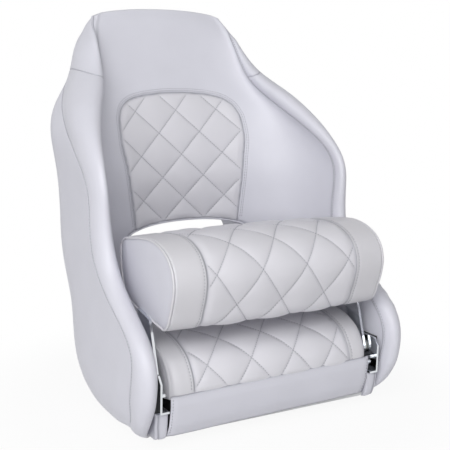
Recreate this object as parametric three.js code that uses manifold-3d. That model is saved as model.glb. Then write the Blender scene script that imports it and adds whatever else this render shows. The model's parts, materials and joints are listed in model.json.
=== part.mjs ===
// Helm bucket seat with a flip-up front bolster, for a small boat.
// Units are millimetres. +X is the sitter's left-to-right as seen from the front, -Y is the front,
// +Z is up. The origin is the centre of the mounting face under the base board.
import * as THREE from "three";
import { mergeVertices } from "three/addons/utils/BufferGeometryUtils.js";
import Module from "manifold-3d";

const wasm = await Module();
wasm.setup();

// Overall sizes
const seatHalfWidth = 298; // outside of a wing
const seatDepth = 600; // unit of every place along Y in the bucket's table
const seatHeight = 805; // up to the corners of the headrest
const headCrown = 14; // how much the middle of the headrest stands above its corners

// Heights that follow the seat's, as shares of seatHeight
const crownStartShare = 0.82; // where the headrest's crown begins
const shellTopShare = 0.889; // above this the headrest is foam alone
const shellSideShare = 0.795; // where the shell's side panels end
const shoulderShare = 0.831; // where the headrest's side panels meet the wings
const archTopShare = 0.44;
const archBottomShare = 0.2485;
const quiltTopShare = 0.7875;
const quiltBottomShare = 0.416; // trimmed to the opening's edge

// Places that follow the seat's depth, as shares of seatDepth
const floorFrontShare = -0.3035; // front edge of the floor between the wings
const cushionFrontShare = -0.3435;
const cushionRearShare = 0.2935; // trimmed to the backrest's curve
const riserRearShare = 0.233;
const pivotShare = -0.27;

// Widths that follow the seat's, as shares of seatHalfWidth
const insideShare = 0.856; // the wings' inner faces beside the cushion
const archWidthShare = 0.53;
const quiltWidthShare = 0.503; // at its widest
const shellSeamShare = 0.67; // joints between the shell's back and its sides

// Clearances
const gap = 0.3; // between faces that touch
const holeGap = 0.4; // round a pin or screw, on the radius
const overrun = 5; // how far a cutting tool passes the face that it cuts
const trimReach = 40; // how far ahead of the seam line the walls are trimmed

// Walls of the bucket, from the outside in
const coverWall = 4; // foam-backed vinyl
const shellWall = 13; // moulded polyethylene
const shellTop = seatHeight * shellTopShare;
const shellCapping = 1; // height over which the padding closes above the shell
const shellSeam = seatHalfWidth * shellSeamShare; // X of the joints between its back and its sides
const shellSideTop = seatHeight * shellSideShare;

// Base board and the shell's floor
const boardHalfWidth = 180;
const boardHalfDepth = 120;
const boardHeight = 18;
const floorWall = 12;
const floorFront = seatDepth * floorFrontShare;

// Mounting inserts in the base board
const insertSpanX = 289;
const insertSpanY = 127;
const insertBore = 4.2;
const insertRadius = 6.5;
const insertFlange = 11;
const insertFlangeHeight = 1.6;
const insertRecess = 1;

// Screws that hold the base board under the shell
const shellScrewRadius = 2.4;
const shellScrewHead = 5;
const shellScrewHeadHeight = 3;
const shellScrewInset = 22;
const shellScrewDepthShare = 0.7; // of the floor's wall

// Hinge of the bolster, from the wing inwards: block, bracket, bush, arm and bolt head
const pivotY = seatDepth * pivotShare;
const pivotZ = 118;
const blockRoom = 1.3; // between the wing and the block
const blockWall = 6.9;
const bracketWall = 4;
const bushWall = 4;
const armWall = 5;
const boltHeadHeight = 5;
const insideHalfWidth = seatHalfWidth * insideShare;
const blockInside = insideHalfWidth - blockRoom - blockWall;
const bracketOutside = blockInside - gap;
const bracketInside = bracketOutside - bracketWall;
const bushOutside = bracketInside - gap;
const armOutside = bushOutside - bushWall - gap;
const armInside = armOutside - armWall;

// Seat cushion, its board and the frame that lifts it
const cushionRoom = 3.7; // between the cushion and the heads of the pivot bolts
const cushionHalfWidth = armInside - gap - boltHeadHeight - cushionRoom;
const cushionTop = 192;
const cushionFront = seatDepth * cushionFrontShare;
const cushionRear = seatDepth * cushionRearShare;
const cushionBoardHeight = 12;
const cushionBoardBottom = 78;
const cushionBoardSetback = 9; // board's edges behind the cushion's
const riserWall = 14;
const riserRear = seatDepth * riserRearShare;

// Skirt that hangs from the front of the cushion
const skirtWall = 3;
const skirtTop = 103;
const skirtBottom = 20;
const skirtLean = 20; // how far its lower edge lies behind its upper one

// Opening between the backrest and the seat
const archHalfWidth = seatHalfWidth * archWidthShare;
const archTop = seatHeight * archTopShare;
const archTopDrop = 20; // how much lower the top edge is at its ends
const archBottom = seatHeight * archBottomShare;
const archCorner = 34;
const liningWall = 3;

// Quilted panel let into the backrest
const quiltDepth = 9;
const quiltBottom = seatHeight * quiltBottomShare;
const quiltTop = seatHeight * quiltTopShare;
const quiltHalfWidth = seatHalfWidth * quiltWidthShare;

// Height of the seam between the wings and the headrest's side panels
const shoulderHeight = seatHeight * shoulderShare;

// Arms, brackets, bolts and stops
const armPivotRadius = 16;
const armLean = 16.6; // degrees that the arm's front edge leans back
const armTopWidth = 56;
const armFlangeReach = 40; // width of the flange under the bolster
const armScrewInset = 28; // X from the arm to the screws in its flange
const armEndSteps = 8; // sides of the arm's rounded lower end
const bushRadius = 10;
const bracketFront = 45; // reach of the bracket ahead of the pivot
const bracketRear = 34;
const bracketUp = 26; // reach above the pivot
const bracketFlangeReach = 19;
const bracketBottom = 72;
const boltRadius = 5;
const boltHead = 9;
const nutRadius = 9;
const nutHeight = 6;
const stopRadius = 4;
const downAngle = 95; // degrees that the bolster swings forward and down
const stopReach = 32; // distance of the lower stop pin from the pivot, along the arm
const restStopShare = 0.75; // of stopReach, for the upper stop pin

// Sills, the covered blocks at the bottom of the hinge pockets
const sillRoom = 5; // between the cushion and a sill
const sillWall = 22;
const sillAhead = 26; // reach ahead of the pivot
const sillBehind = 222;
const sillInside = cushionHalfWidth + sillRoom;

// Screws of the hinge
const smallScrewRadius = 2.5;
const smallScrewHead = 5;
const smallScrewHeadHeight = 3;

// Bolster
const bolsterRoom = 0.7; // between the bolster's ends and the plane of the arms
const bolsterEndWall = 4;
const bolsterHalfWidth = armInside - bolsterRoom - bolsterEndWall - gap;
const bolsterAhead = 78; // reach ahead of the pivot
const bolsterBehind = 164;
const bolsterBottom = 229;
const bolsterTop = 384;
const pipingRadius = 2.4;
const pipingInset = 2.7; // from the bolster's outline to the middle of the piping
const pipingRoom = 2; // between the piping and the end panel
const pipingSides = 6;
const pipingTensionShare = 0.5; // how tightly the piping's line follows its points
const bolsterBoardHeight = 12;
const bolsterBoardSetback = 14; // board's ends inside the bolster's
const bolsterBoardStart = 8; // board's front edge behind the underside's
const bolsterBoardDepth = 84;
const armScrewDepthShare = 0.8; // of the board's height
const armScrewRows = [18, 42]; // distances of the screws behind the underside's front edge

const round = { coarse: 12, fine: 20, nut: 6 }; // sides of the round pieces and of a nut

// The bucket is a stack of level sections. Each row holds the height, then for the right-hand side:
// X and Y of the inner seam, Y of the backrest's middle, X and Y of the foremost line of the wing,
// X and Y of the outer seam, the widest X, and Y of the rear. Heights are shares of seatHeight,
// X values of seatHalfWidth and Y values of seatDepth.
const bucketShares = [
  // height, innerX, innerY, middleY, noseX, noseY, outerX, outerY, wideX, rearY
  [0.0, 0.76, -0.185, 0.2, 0.783, -0.213, 0.8, -0.16, 0.81, 0.26],
  [0.018, 0.82, -0.225, 0.24, 0.848, -0.253, 0.87, -0.197, 0.88, 0.295],
  [0.042, 0.846, -0.268, 0.265, 0.893, -0.3, 0.933, -0.243, 0.937, 0.335],
  [0.082, 0.856, -0.307, 0.28, 0.916, -0.347, 0.97, -0.287, 0.977, 0.375],
  [0.132, 0.856, -0.335, 0.287, 0.923, -0.382, 0.987, -0.3, 0.993, 0.412],
  [0.187, 0.856, -0.355, 0.29, 0.925, -0.393, 0.99, -0.317, 1.0, 0.437],
  [0.226, 0.856, -0.342, 0.292, 0.925, -0.38, 0.99, -0.322, 1.0, 0.45],
  [0.259, 0.856, -0.303, 0.293, 0.925, -0.345, 0.99, -0.298, 1.0, 0.458],
  [0.294, 0.856, -0.235, 0.293, 0.925, -0.278, 0.99, -0.218, 1.0, 0.467],
  [0.325, 0.856, -0.165, 0.293, 0.925, -0.2, 0.99, -0.135, 1.0, 0.475],
  [0.36, 0.856, -0.107, 0.293, 0.925, -0.137, 0.99, -0.075, 1.0, 0.48],
  [0.4, 0.857, -0.067, 0.294, 0.925, -0.093, 0.99, -0.02, 1.0, 0.483],
  [0.447, 0.863, -0.04, 0.295, 0.926, -0.07, 0.99, 0.007, 1.0, 0.483],
  [0.509, 0.88, -0.031, 0.295, 0.93, -0.06, 0.99, 0.01, 1.0, 0.487],
  [0.559, 0.893, -0.033, 0.295, 0.933, -0.062, 0.99, 0.013, 1.0, 0.497],
  [0.596, 0.9, -0.027, 0.302, 0.936, -0.06, 0.99, 0.027, 0.998, 0.512],
  [0.627, 0.892, -0.005, 0.31, 0.934, -0.04, 0.985, 0.065, 0.995, 0.53],
  [0.665, 0.862, 0.05, 0.32, 0.925, 0.005, 0.975, 0.13, 0.988, 0.558],
  [0.708, 0.798, 0.135, 0.338, 0.895, 0.077, 0.95, 0.205, 0.965, 0.588],
  [0.75, 0.728, 0.225, 0.362, 0.832, 0.16, 0.888, 0.285, 0.912, 0.603],
  [0.784, 0.668, 0.298, 0.385, 0.765, 0.225, 0.825, 0.345, 0.845, 0.61],
  [0.831, 0.59, 0.352, 0.417, 0.655, 0.318, 0.715, 0.415, 0.735, 0.622],
  [0.894, 0.567, 0.412, 0.458, 0.6, 0.397, 0.636, 0.477, 0.648, 0.62],
  [0.944, 0.553, 0.457, 0.49, 0.583, 0.447, 0.602, 0.512, 0.607, 0.605],
  [0.976, 0.538, 0.485, 0.508, 0.562, 0.478, 0.577, 0.528, 0.58, 0.585],
  [1.0, 0.503, 0.51, 0.528, 0.522, 0.504, 0.534, 0.533, 0.537, 0.558],
];
// Squareness of the level sections: the power of their curves, against the height
const innerPowerShares = [[0, 4.5], [0.28, 4.5], [0.43, 2.6], [0.78, 2.6], [1, 2.4]];
const outerPowerShares = [[0, 3.6], [0.15, 4.5], [0.8, 4.5], [1, 3.6]];
const flareStartShare = 0.78; // of the quarter turn, where the side narrows towards its seam
const noseBluntShare = 0.35; // of a padded edge's width, how far its front stays blunt to each side

// Side view of the seat cushion from the bottom rear, round the front, to the top rear:
// shares of its depth from the rear to the front, and of its height from board to top
const cushionShares = [
  [0, 0], [1, 0], [1, 0.12], [0.992, 0.36], [0.965, 0.55], [0.93, 0.7], [0.885, 0.8],
  [0.8, 0.91], [0.7, 0.97], [0.52, 1], [0.2, 1], [0.04, 0.96], [0, 0.85],
];
// Side view of the skirt's outer face: shares of its lean back and of its height, from the top
const skirtShares = [[0, 0], [0, 0.2], [0.12, 0.4], [0.4, 0.7], [1, 1]];
// Side view of a hinge bracket and the places of its screws: shares of bracketFront ahead of the
// pivot, or of bracketRear behind it where below 0, and shares of bracketUp above it, or of the
// way down to bracketBottom where below 0
const bracketShares = [[1, -1], [-1, -1], [-1, 1], [0.8, 1], [1.06, 0.45]];
const bracketScrewShares = [[-0.6, -0.435], [0.4, -0.66]];
const blockFrontShare = 0.7; // of bracketFront

// Side view of the bolster, from its flat underside, round the front and the top, to the back:
// shares of its depth from the rear to the front, and of its height from the bottom
const bolsterShares = [
  [0.3, 0.115], [0.727, 0], [0.82, 0], [0.87, 0.06], [0.925, 0.2], [0.97, 0.38], [0.99, 0.56],
  [0.965, 0.72], [0.9, 0.85], [0.78, 0.95], [0.62, 1], [0.42, 0.985], [0.22, 0.935],
  [0.05, 0.885], [0, 0.83], [0, 0.68], [0.06, 0.48], [0.13, 0.3], [0.2, 0.19],
];

// Outline of the quilted panel: share of its height from the bottom, and of its half-width
const quiltShares = [
  [0, 0.83], [0.1, 0.85], [0.33, 0.907], [0.51, 0.953], [0.67, 1], [0.8, 0.99], [0.89, 0.93],
  [0.95, 0.78], [0.985, 0.5], [1, 0.15],
];

// Materials
const vinyl = () => new THREE.MeshStandardMaterial({ color: 0xdcdce2, roughness: 0.5, metalness: 0 });
const quiltedVinyl = () => new THREE.MeshStandardMaterial({ color: 0xdddbdb, roughness: 0.5, metalness: 0 });
const blackPlastic = () => new THREE.MeshStandardMaterial({ color: 0x1b1c1e, roughness: 0.6, metalness: 0 });
const moulded = () => new THREE.MeshStandardMaterial({ color: 0xd9dadb, roughness: 0.6, metalness: 0 });
const plywood = () => new THREE.MeshStandardMaterial({ color: 0x9c7b52, roughness: 0.8, metalness: 0 });
const stainless = () => new THREE.MeshStandardMaterial({ color: 0xc9cccf, roughness: 0.22, metalness: 1 });
const nylon = () => new THREE.MeshStandardMaterial({ color: 0xe9e7e0, roughness: 0.5, metalness: 0 });

const degrees = Math.PI / 180;

// A smooth curve through rows of [place, value, ...] that never passes its own highs and lows
function curveThrough(rows, column) {
  const slope = (i) => (rows[i + 1][column] - rows[i][column]) / (rows[i + 1][0] - rows[i][0]);
  const tangent = (i) => {
    if (i === 0) return slope(0);
    if (i === rows.length - 1) return slope(i - 1);
    const before = slope(i - 1);
    const after = slope(i);
    return before * after <= 0 ? 0 : (2 * before * after) / (before + after);
  };
  return (place) => {
    const last = rows.length - 2;
    const next = rows.findIndex((row) => row[0] > place);
    const i = next < 0 ? last : Math.max(next - 1, 0);
    const span = rows[i + 1][0] - rows[i][0];
    const t = THREE.MathUtils.clamp((place - rows[i][0]) / span, 0, 1);
    const rise = rows[i + 1][column] - rows[i][column];
    const ease = t * t * (3 - 2 * t);
    const leaving = t * (1 - t) * (1 - t) * tangent(i) * span;
    const arriving = t * t * (1 - t) * tangent(i + 1) * span;
    return rows[i][column] + rise * ease + leaving - arriving;
  };
}

const bucketColumns = ["innerX", "innerY", "middleY", "noseX", "noseY", "outerX", "outerY", "wideX", "rearY"];
const bucketCurves = bucketColumns.map((name, i) => curveThrough(bucketShares, i + 1));
const innerPower = curveThrough(innerPowerShares, 1);
const outerPower = curveThrough(outerPowerShares, 1);

// All sizes of the level section at a height
function sectionAt(z) {
  const share = z / seatHeight;
  const section = { z, innerPower: innerPower(share), outerPower: outerPower(share) };
  bucketColumns.forEach((name, i) => {
    section[name] = bucketCurves[i](share) * (name.endsWith("X") ? seatHalfWidth : seatDepth);
  });
  return section;
}

// Points of a superellipse arch from the left end, round the back, to the right end
const archSteps = 14;
function archPoint(turn, halfWidth, frontY, backY, power) {
  const x = Math.sign(turn) * Math.abs(Math.sin(turn)) ** (2 / power) * halfWidth;
  const y = frontY + (backY - frontY) * Math.abs(Math.cos(turn)) ** (2 / power);
  return new THREE.Vector2(x, y);
}
function archTurns() {
  return Array.from({ length: archSteps + 1 }, (_, i) => (i / archSteps - 0.5) * Math.PI);
}

// Y on the straight line between the two seams, where the padded edge meets the walls
const seamLineY = (s, x) =>
  THREE.MathUtils.mapLinear(Math.abs(x), s.innerX, s.outerX, s.innerY, s.outerY);

// A face's two ends are carried ahead of the seam line, to be trimmed there
function endsAhead(s, points) {
  for (const end of [points[0], points[archSteps]]) end.y = seamLineY(s, end.x) - overrun;
  return points;
}

// The inner face of the bucket, moved back into the pad by a depth
function innerFace(s, depth = 0) {
  const halfWidth = s.innerX + depth;
  const points = archTurns().map((turn) =>
    archPoint(turn, halfWidth, s.innerY, s.middleY + depth, s.innerPower),
  );
  return endsAhead(s, points);
}

// The outer face of the bucket, moved in by a depth
function outerFace(s, depth) {
  const narrowing = s.wideX - s.outerX;
  const points = archTurns().map((turn) => {
    const share = Math.abs(turn) / (Math.PI / 2);
    const flare = THREE.MathUtils.smoothstep(share, flareStartShare, 1) * narrowing;
    return archPoint(turn, s.wideX - flare - depth, s.outerY, s.rearY - depth, s.outerPower);
  });
  return endsAhead(s, points);
}

// The headrest's crown lifts a point by this much
function crownLift(x, z) {
  const across = 1 - (x / seatHalfWidth) ** 2;
  const along = THREE.MathUtils.smoothstep(z, seatHeight * crownStartShare, seatHeight);
  return headCrown * across * along;
}

// A closed geometry from rings of points with the same count, lowest first, counter-clockwise.
// Each four-cornered face is split from its corner nearest the seat's middle, so that pieces that
// lie against each other are split alike.
function loft(rings) {
  const count = rings[0].length;
  const positions = rings.flat().flatMap((p) => [p.x, p.y, p.z]);
  const faces = [];
  for (let level = 0; level < rings.length - 1; level++) {
    for (let i = 0; i < count; i++) {
      const a = level * count + i;
      const b = level * count + ((i + 1) % count);
      const pa = rings[level][i];
      const pb = rings[level][(i + 1) % count];
      const nearer = Math.abs(pa.x) - Math.abs(pb.x) || pa.y - pb.y;
      if (nearer < 0) faces.push(a, b, b + count, a, b + count, a + count);
      else faces.push(a, b, a + count, b, b + count, a + count);
    }
  }
  const cap = (ring, offset, flip) => {
    const flat = ring.map((p) => new THREE.Vector2(p.x, p.y));
    for (const [a, b, c] of THREE.ShapeUtils.triangulateShape(flat, [])) {
      faces.push(...(flip ? [a, c, b] : [a, b, c]).map((i) => i + offset));
    }
  };
  cap(rings[0], 0, true);
  cap(rings[rings.length - 1], (rings.length - 1) * count, false);
  const geometry = new THREE.BufferGeometry();
  geometry.setAttribute("position", new THREE.Float32BufferAttribute(positions, 3));
  geometry.setIndex(faces);
  return geometry;
}

// Heights that all pieces of the bucket share, so that their faces lie alike: the table's rows and
// the heights where a piece begins or ends
const floorLow = boardHeight + gap;
const floorTop = floorLow + floorWall;
const padBottom = floorTop + gap;
const cappingLow = shellTop + gap;
const cappingHigh = cappingLow + shellCapping;
const ends = [floorLow, floorTop, padBottom, shoulderHeight, shellTop, cappingLow, cappingHigh];
const clearOfEnds = (z) => ends.every((end) => Math.abs(z - end) > overrun / 2);
const rowHeights = bucketShares.map((row) => row[0] * seatHeight).filter(clearOfEnds);
const sharedLevels = [...rowHeights, ...ends].sort((a, b) => a - b);

// A piece of the bucket: each level's outline comes from a function of its section
function bucketPiece(low, high, outline) {
  const inside = sharedLevels.filter((z) => z > low + gap / 2 && z < high - gap / 2);
  const rings = [low, ...inside, high].map((z) =>
    outline(sectionAt(z)).map((p) => new THREE.Vector3(p.x, p.y, z + crownLift(p.x, z))),
  );
  return loft(rings);
}

// A wall of the bucket between two depths below its outer face
const outerLayer = (low, high, from, to) =>
  bucketPiece(low, high, (s) => [...outerFace(s, from).reverse(), ...outerFace(s, to)]);

// Solids for joining and cutting
function solidOf(geometry) {
  const bare = geometry.index && !geometry.attributes.normal ? geometry : geometry.clone();
  bare.deleteAttribute("normal");
  bare.deleteAttribute("uv");
  const merged = mergeVertices(bare);
  const vertProperties = new Float32Array(merged.attributes.position.array);
  const triVerts = new Uint32Array(merged.index.array);
  return new wasm.Manifold(new wasm.Mesh({ numProp: 3, vertProperties, triVerts }));
}
function geometryOf(solid) {
  const mesh = solid.getMesh();
  const geometry = new THREE.BufferGeometry();
  geometry.setAttribute("position", new THREE.Float32BufferAttribute(mesh.vertProperties, 3));
  geometry.setIndex(Array.from(mesh.triVerts));
  return geometry;
}
const cut = (body, ...tools) =>
  geometryOf(tools.reduce((solid, tool) => solid.subtract(solidOf(tool)), solidOf(body)));
const join = (body, ...others) =>
  geometryOf(others.reduce((solid, other) => solid.add(solidOf(other)), solidOf(body)));
const common = (a, b) => geometryOf(solidOf(a).intersect(solidOf(b)));

// A box between two corners
function box(low, high) {
  const size = high.map((value, i) => value - low[i]);
  return new THREE.BoxGeometry(...size).translate(...low.map((value, i) => value + size[i] / 2));
}

// A side-view outline of [y, z] points as a plate between two X values
function plateX(outline, fromX, toX) {
  const shape = new THREE.Shape(outline.map(([y, z]) => new THREE.Vector2(y, z)));
  const plate = new THREE.ExtrudeGeometry(shape, { depth: toX - fromX, bevelEnabled: false, curveSegments: 6 });
  const turned = new THREE.Matrix4().makeBasis(
    new THREE.Vector3(0, 1, 0), new THREE.Vector3(0, 0, 1), new THREE.Vector3(1, 0, 0),
  );
  return plate.applyMatrix4(turned).translate(fromX, 0, 0);
}

// A front-view shape of X and Z as a prism between two Y values
function prismY(shape, fromY, toY) {
  const prism = new THREE.ExtrudeGeometry(shape, { depth: toY - fromY, bevelEnabled: false, curveSegments: 8 });
  return prism.rotateX(Math.PI / 2).translate(0, toY, 0);
}

// A rod along X at a place in the side view
function rodX(radius, fromX, toX, y, z, sides = round.coarse) {
  const rod = new THREE.CylinderGeometry(radius, radius, toX - fromX, sides);
  return rod.rotateZ(Math.PI / 2).translate((fromX + toX) / 2, y, z);
}
// A rod along Z
function rodZ(radius, fromZ, toZ, x, y, sides = round.coarse) {
  const rod = new THREE.CylinderGeometry(radius, radius, toZ - fromZ, sides);
  return rod.rotateX(Math.PI / 2).translate(x, y, (fromZ + toZ) / 2);
}

// The same geometry on the other side of the seat
function mirrored(geometry) {
  const copy = geometry.clone().scale(-1, 1, 1);
  const index = copy.index ? Array.from(copy.index.array) : [...Array(copy.attributes.position.count).keys()];
  for (let i = 0; i < index.length; i += 3) index.splice(i, 3, index[i], index[i + 2], index[i + 1]);
  copy.setIndex(index);
  return copy;
}

const seat = new THREE.Group();
function place(name, geometry, material, group = seat) {
  const mesh = new THREE.Mesh(geometry, material);
  mesh.name = name;
  group.add(mesh);
}
function placePair(name, geometry, material) {
  place(name + "_right", geometry, material());
  place(name + "_left", mirrored(geometry), material());
}

// Base board with its inserts and screws
const boardTop = boardHeight;
const insertPlaces = [-1, 1].flatMap((sx) => [-1, 1].map((sy) => [(sx * insertSpanX) / 2, (sy * insertSpanY) / 2]));
const shellScrewPlaces = [-1, 1].flatMap((sx) =>
  [-1, 1].map((sy) => [sx * (boardHalfWidth - shellScrewInset), sy * (boardHalfDepth - shellScrewInset)]),
);
function baseBoard() {
  const board = box([-boardHalfWidth, -boardHalfDepth, 0], [boardHalfWidth, boardHalfDepth, boardTop]);
  const flangeRoom = boardTop - insertFlangeHeight - 2 * gap;
  const inserts = insertPlaces.flatMap(([x, y]) => [
    rodZ(insertRadius + holeGap, -overrun, boardTop + overrun, x, y),
    rodZ(insertFlange + holeGap, flangeRoom, boardTop + overrun, x, y),
  ]);
  const screws = shellScrewPlaces.flatMap(([x, y]) => [
    rodZ(shellScrewRadius + holeGap, -overrun, boardTop + overrun, x, y),
    rodZ(shellScrewHead + holeGap, -overrun, shellScrewHeadHeight + gap, x, y),
  ]);
  return cut(board, ...inserts, ...screws);
}
function mountInsert(x, y) {
  const top = boardTop - gap;
  const profile = [
    [insertBore, insertRecess], [insertRadius, insertRecess], [insertRadius, top - insertFlangeHeight],
    [insertFlange, top - insertFlangeHeight], [insertFlange, top], [insertBore, top], [insertBore, insertRecess],
  ].map(([r, z]) => new THREE.Vector2(r, z));
  return new THREE.LatheGeometry(profile, round.coarse).rotateX(Math.PI / 2).translate(x, y, 0);
}
function shellScrew(x, y) {
  const screwTop = boardTop + floorWall * shellScrewDepthShare;
  const head = rodZ(shellScrewHead, gap, shellScrewHeadHeight, x, y);
  const shank = rodZ(shellScrewRadius, shellScrewHeadHeight - gap, screwTop, x, y, round.coarse / 2);
  return join(head, shank);
}

// Shell: a floor on the base board, and a back and two sides that stand on it
const shellFrom = coverWall + gap;
const shellTo = shellFrom + shellWall;
function shellFloor() {
  const floor = bucketPiece(floorLow, floorTop, (s) => outerFace(s, shellFrom).reverse());
  const tongueHalf = sillInside - gap;
  const tongue = box([-tongueHalf, floorFront, floorLow], [tongueHalf, 0, floorTop]);
  const holes = shellScrewPlaces.map(([x, y]) => rodZ(shellScrewRadius + holeGap, 0, floorTop + overrun, x, y));
  return cut(join(floor, tongue), ...edgeTools(), ...holes);
}
const shellWalls = () =>
  cut(outerLayer(floorTop + gap, shellTop, shellFrom, shellTo), archTool(liningWall + gap), ...edgeTools());
// All that lies outside a shell joint and below the top of the side panels
function sideOfShell(seam, top) {
  return box([seam, -seatDepth, 0], [seatHalfWidth + overrun, seatDepth, top]);
}
function shellBack() {
  const side = sideOfShell(shellSeam, shellSideTop);
  return cut(shellWalls(), side, mirrored(side));
}
const shellSide = () => common(shellWalls(), sideOfShell(shellSeam + gap, shellSideTop - gap));

// The opening's front-view shape, grown by a margin on all sides
function archShape(margin) {
  const half = archHalfWidth + margin;
  const corner = archCorner + margin;
  const top = archTop + margin;
  const side = archTop - archTopDrop + margin;
  const bottom = archBottom - margin;
  const shape = new THREE.Shape();
  shape.moveTo(-half + corner, bottom);
  shape.lineTo(half - corner, bottom);
  shape.quadraticCurveTo(half, bottom, half, bottom + corner);
  shape.lineTo(half, side - corner);
  shape.quadraticCurveTo(half, side, half - corner, side + archTopDrop / 3);
  shape.quadraticCurveTo(half / 2, top, 0, top);
  shape.quadraticCurveTo(-half / 2, top, -half + corner, side + archTopDrop / 3);
  shape.quadraticCurveTo(-half, side, -half, side - corner);
  shape.lineTo(-half, bottom + corner);
  shape.quadraticCurveTo(-half, bottom, -half + corner, bottom);
  return shape;
}
const archTool = (margin) => prismY(archShape(margin), 0, seatDepth);
function archLining() {
  const wholeWall = bucketPiece(archBottom - archCorner, archTop + archCorner, (s) => [
    ...outerFace(s, 0).reverse(), ...innerFace(s),
  ]);
  return cut(common(archTool(liningWall), wholeWall), archTool(0));
}

// Cover over the outside of the shell
const coverBottom = 4;
function outerCover() {
  const aroundBoard = [boardHalfWidth + gap, boardHalfDepth + gap, boardTop + gap];
  const boardRoom = box([-aroundBoard[0], -aroundBoard[1], 0], aroundBoard);
  const layer = outerLayer(coverBottom, seatHeight, 0, coverWall);
  return cut(layer, archTool(liningWall + gap), boardRoom, ...edgeTools());
}

// Padded edge of a wing or of the headrest, from seam to seam round the front
const noseSteps = 8;
function noseOutline(s) {
  const half = noseBluntShare * (s.outerX - s.innerX);
  const reach = (8 * s.noseY - s.innerY - s.outerY) / 6; // brings the curve's middle to noseY
  const curve = new THREE.CubicBezierCurve(
    new THREE.Vector2(s.innerX, s.innerY - gap), new THREE.Vector2(s.noseX - half, reach),
    new THREE.Vector2(s.noseX + half, reach), new THREE.Vector2(s.outerX, s.outerY - gap),
  );
  return curve.getPoints(noseSteps);
}
const wingPad = () => bucketPiece(coverBottom, shoulderHeight - gap / 2, noseOutline);
const headSide = () => bucketPiece(shoulderHeight + gap / 2, seatHeight, noseOutline);

// All that lies ahead of the seam line, which the walls leave to the padded edges
function edgeTools() {
  const outline = (s) => {
    const at = (x, ahead = 0) => new THREE.Vector2(x, seamLineY(s, x) - ahead);
    const inside = s.innerX - overrun / 2;
    const outside = s.outerX + overrun;
    return [at(inside, trimReach), at(outside, trimReach), at(outside), at(s.outerX), at(s.innerX), at(inside)];
  };
  const tool = bucketPiece(0, seatHeight + overrun, outline);
  return [tool, mirrored(tool)];
}

// Padding of the backrest and of the wings' inner faces, with room for the quilted panel
const padFrom = shellTo + gap;
function quiltTool(margin, depth) {
  const height = quiltTop - quiltBottom + 2 * margin;
  const right = quiltShares.map(([up, out]) => [out * quiltHalfWidth + margin, quiltBottom - margin + up * height]);
  const left = right.map(([x, z]) => [-x, z]).reverse();
  const shape = new THREE.Shape([...right, ...left].map(([x, z]) => new THREE.Vector2(x, z)));
  const low = quiltBottom - archCorner;
  const high = quiltTop + archCorner;
  const layer = bucketPiece(low, high, (s) => [...innerFace(s, depth).reverse(), ...innerFace(s, -margin)]);
  return common(prismY(shape, 0, seatDepth), layer);
}
const padDepth = (z) => {
  const closing = (z - cappingLow) / shellCapping;
  return THREE.MathUtils.lerp(padFrom, shellFrom, THREE.MathUtils.clamp(closing, 0, 1));
};
function backrestPad() {
  const outline = (s) => [...outerFace(s, padDepth(s.z)).reverse(), ...innerFace(s)];
  const pad = bucketPiece(padBottom, seatHeight, outline);
  return cut(pad, archTool(liningWall + gap), quiltTool(gap, quiltDepth + gap), ...edgeTools());
}
const quiltPanel = () => cut(quiltTool(0, quiltDepth), archTool(liningWall + gap));

// The hollow between the wings, less the clearance, which trims what lies in it
const hollowFront = -seatDepth / 2;
function hollow() {
  const outline = (s) => {
    const back = innerFace(s, -gap);
    const half = s.innerX - gap;
    return [...back.reverse(), new THREE.Vector2(-half, hollowFront), new THREE.Vector2(half, hollowFront)];
  };
  return bucketPiece(floorTop, cushionTop + overrun, outline);
}
const inHollow = (geometry) => common(geometry, hollow());

// Seat cushion, its board, its frame and the skirt
const cushionBottom = cushionBoardBottom + cushionBoardHeight + gap;
const boardInset = cushionHalfWidth - cushionBoardSetback;
function seatCushion() {
  const outline = cushionShares.map(([forward, up]) => [
    cushionRear + (cushionFront - cushionRear) * forward,
    cushionBottom + (cushionTop - cushionBottom) * up,
  ]);
  return inHollow(plateX(outline.reverse(), -cushionHalfWidth, cushionHalfWidth));
}
const cushionBoard = () =>
  inHollow(
    box(
      [-boardInset, cushionFront + cushionBoardSetback, cushionBoardBottom],
      [boardInset, cushionRear - cushionBoardSetback, cushionBoardBottom + cushionBoardHeight],
    ),
  );
function seatRiser() {
  const low = floorTop + gap;
  const high = cushionBoardBottom - gap;
  const outer = box([-boardInset, floorFront, low], [boardInset, riserRear, high]);
  const inner = box(
    [-boardInset + riserWall, floorFront + riserWall, low - overrun],
    [boardInset - riserWall, riserRear - riserWall, high + overrun],
  );
  return inHollow(cut(outer, inner));
}
function frontSkirt() {
  const height = skirtTop - skirtBottom;
  const back = cushionFront - gap;
  const outer = skirtShares.map(([lean, down]) => [back - skirtWall + lean * skirtLean, skirtTop - down * height]);
  const inner = outer.map(([y, z]) => [y + skirtWall, z]).reverse();
  return plateX([...outer, ...inner], -cushionHalfWidth, cushionHalfWidth);
}

// Hinge pocket: sill, block, bracket, pivot and stops
function pocketSill() {
  const low = [sillInside, pivotY - sillAhead, floorTop + gap];
  const high = [sillInside + sillWall, pivotY + sillBehind, bracketBottom - gap];
  return inHollow(box(low, high));
}

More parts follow.
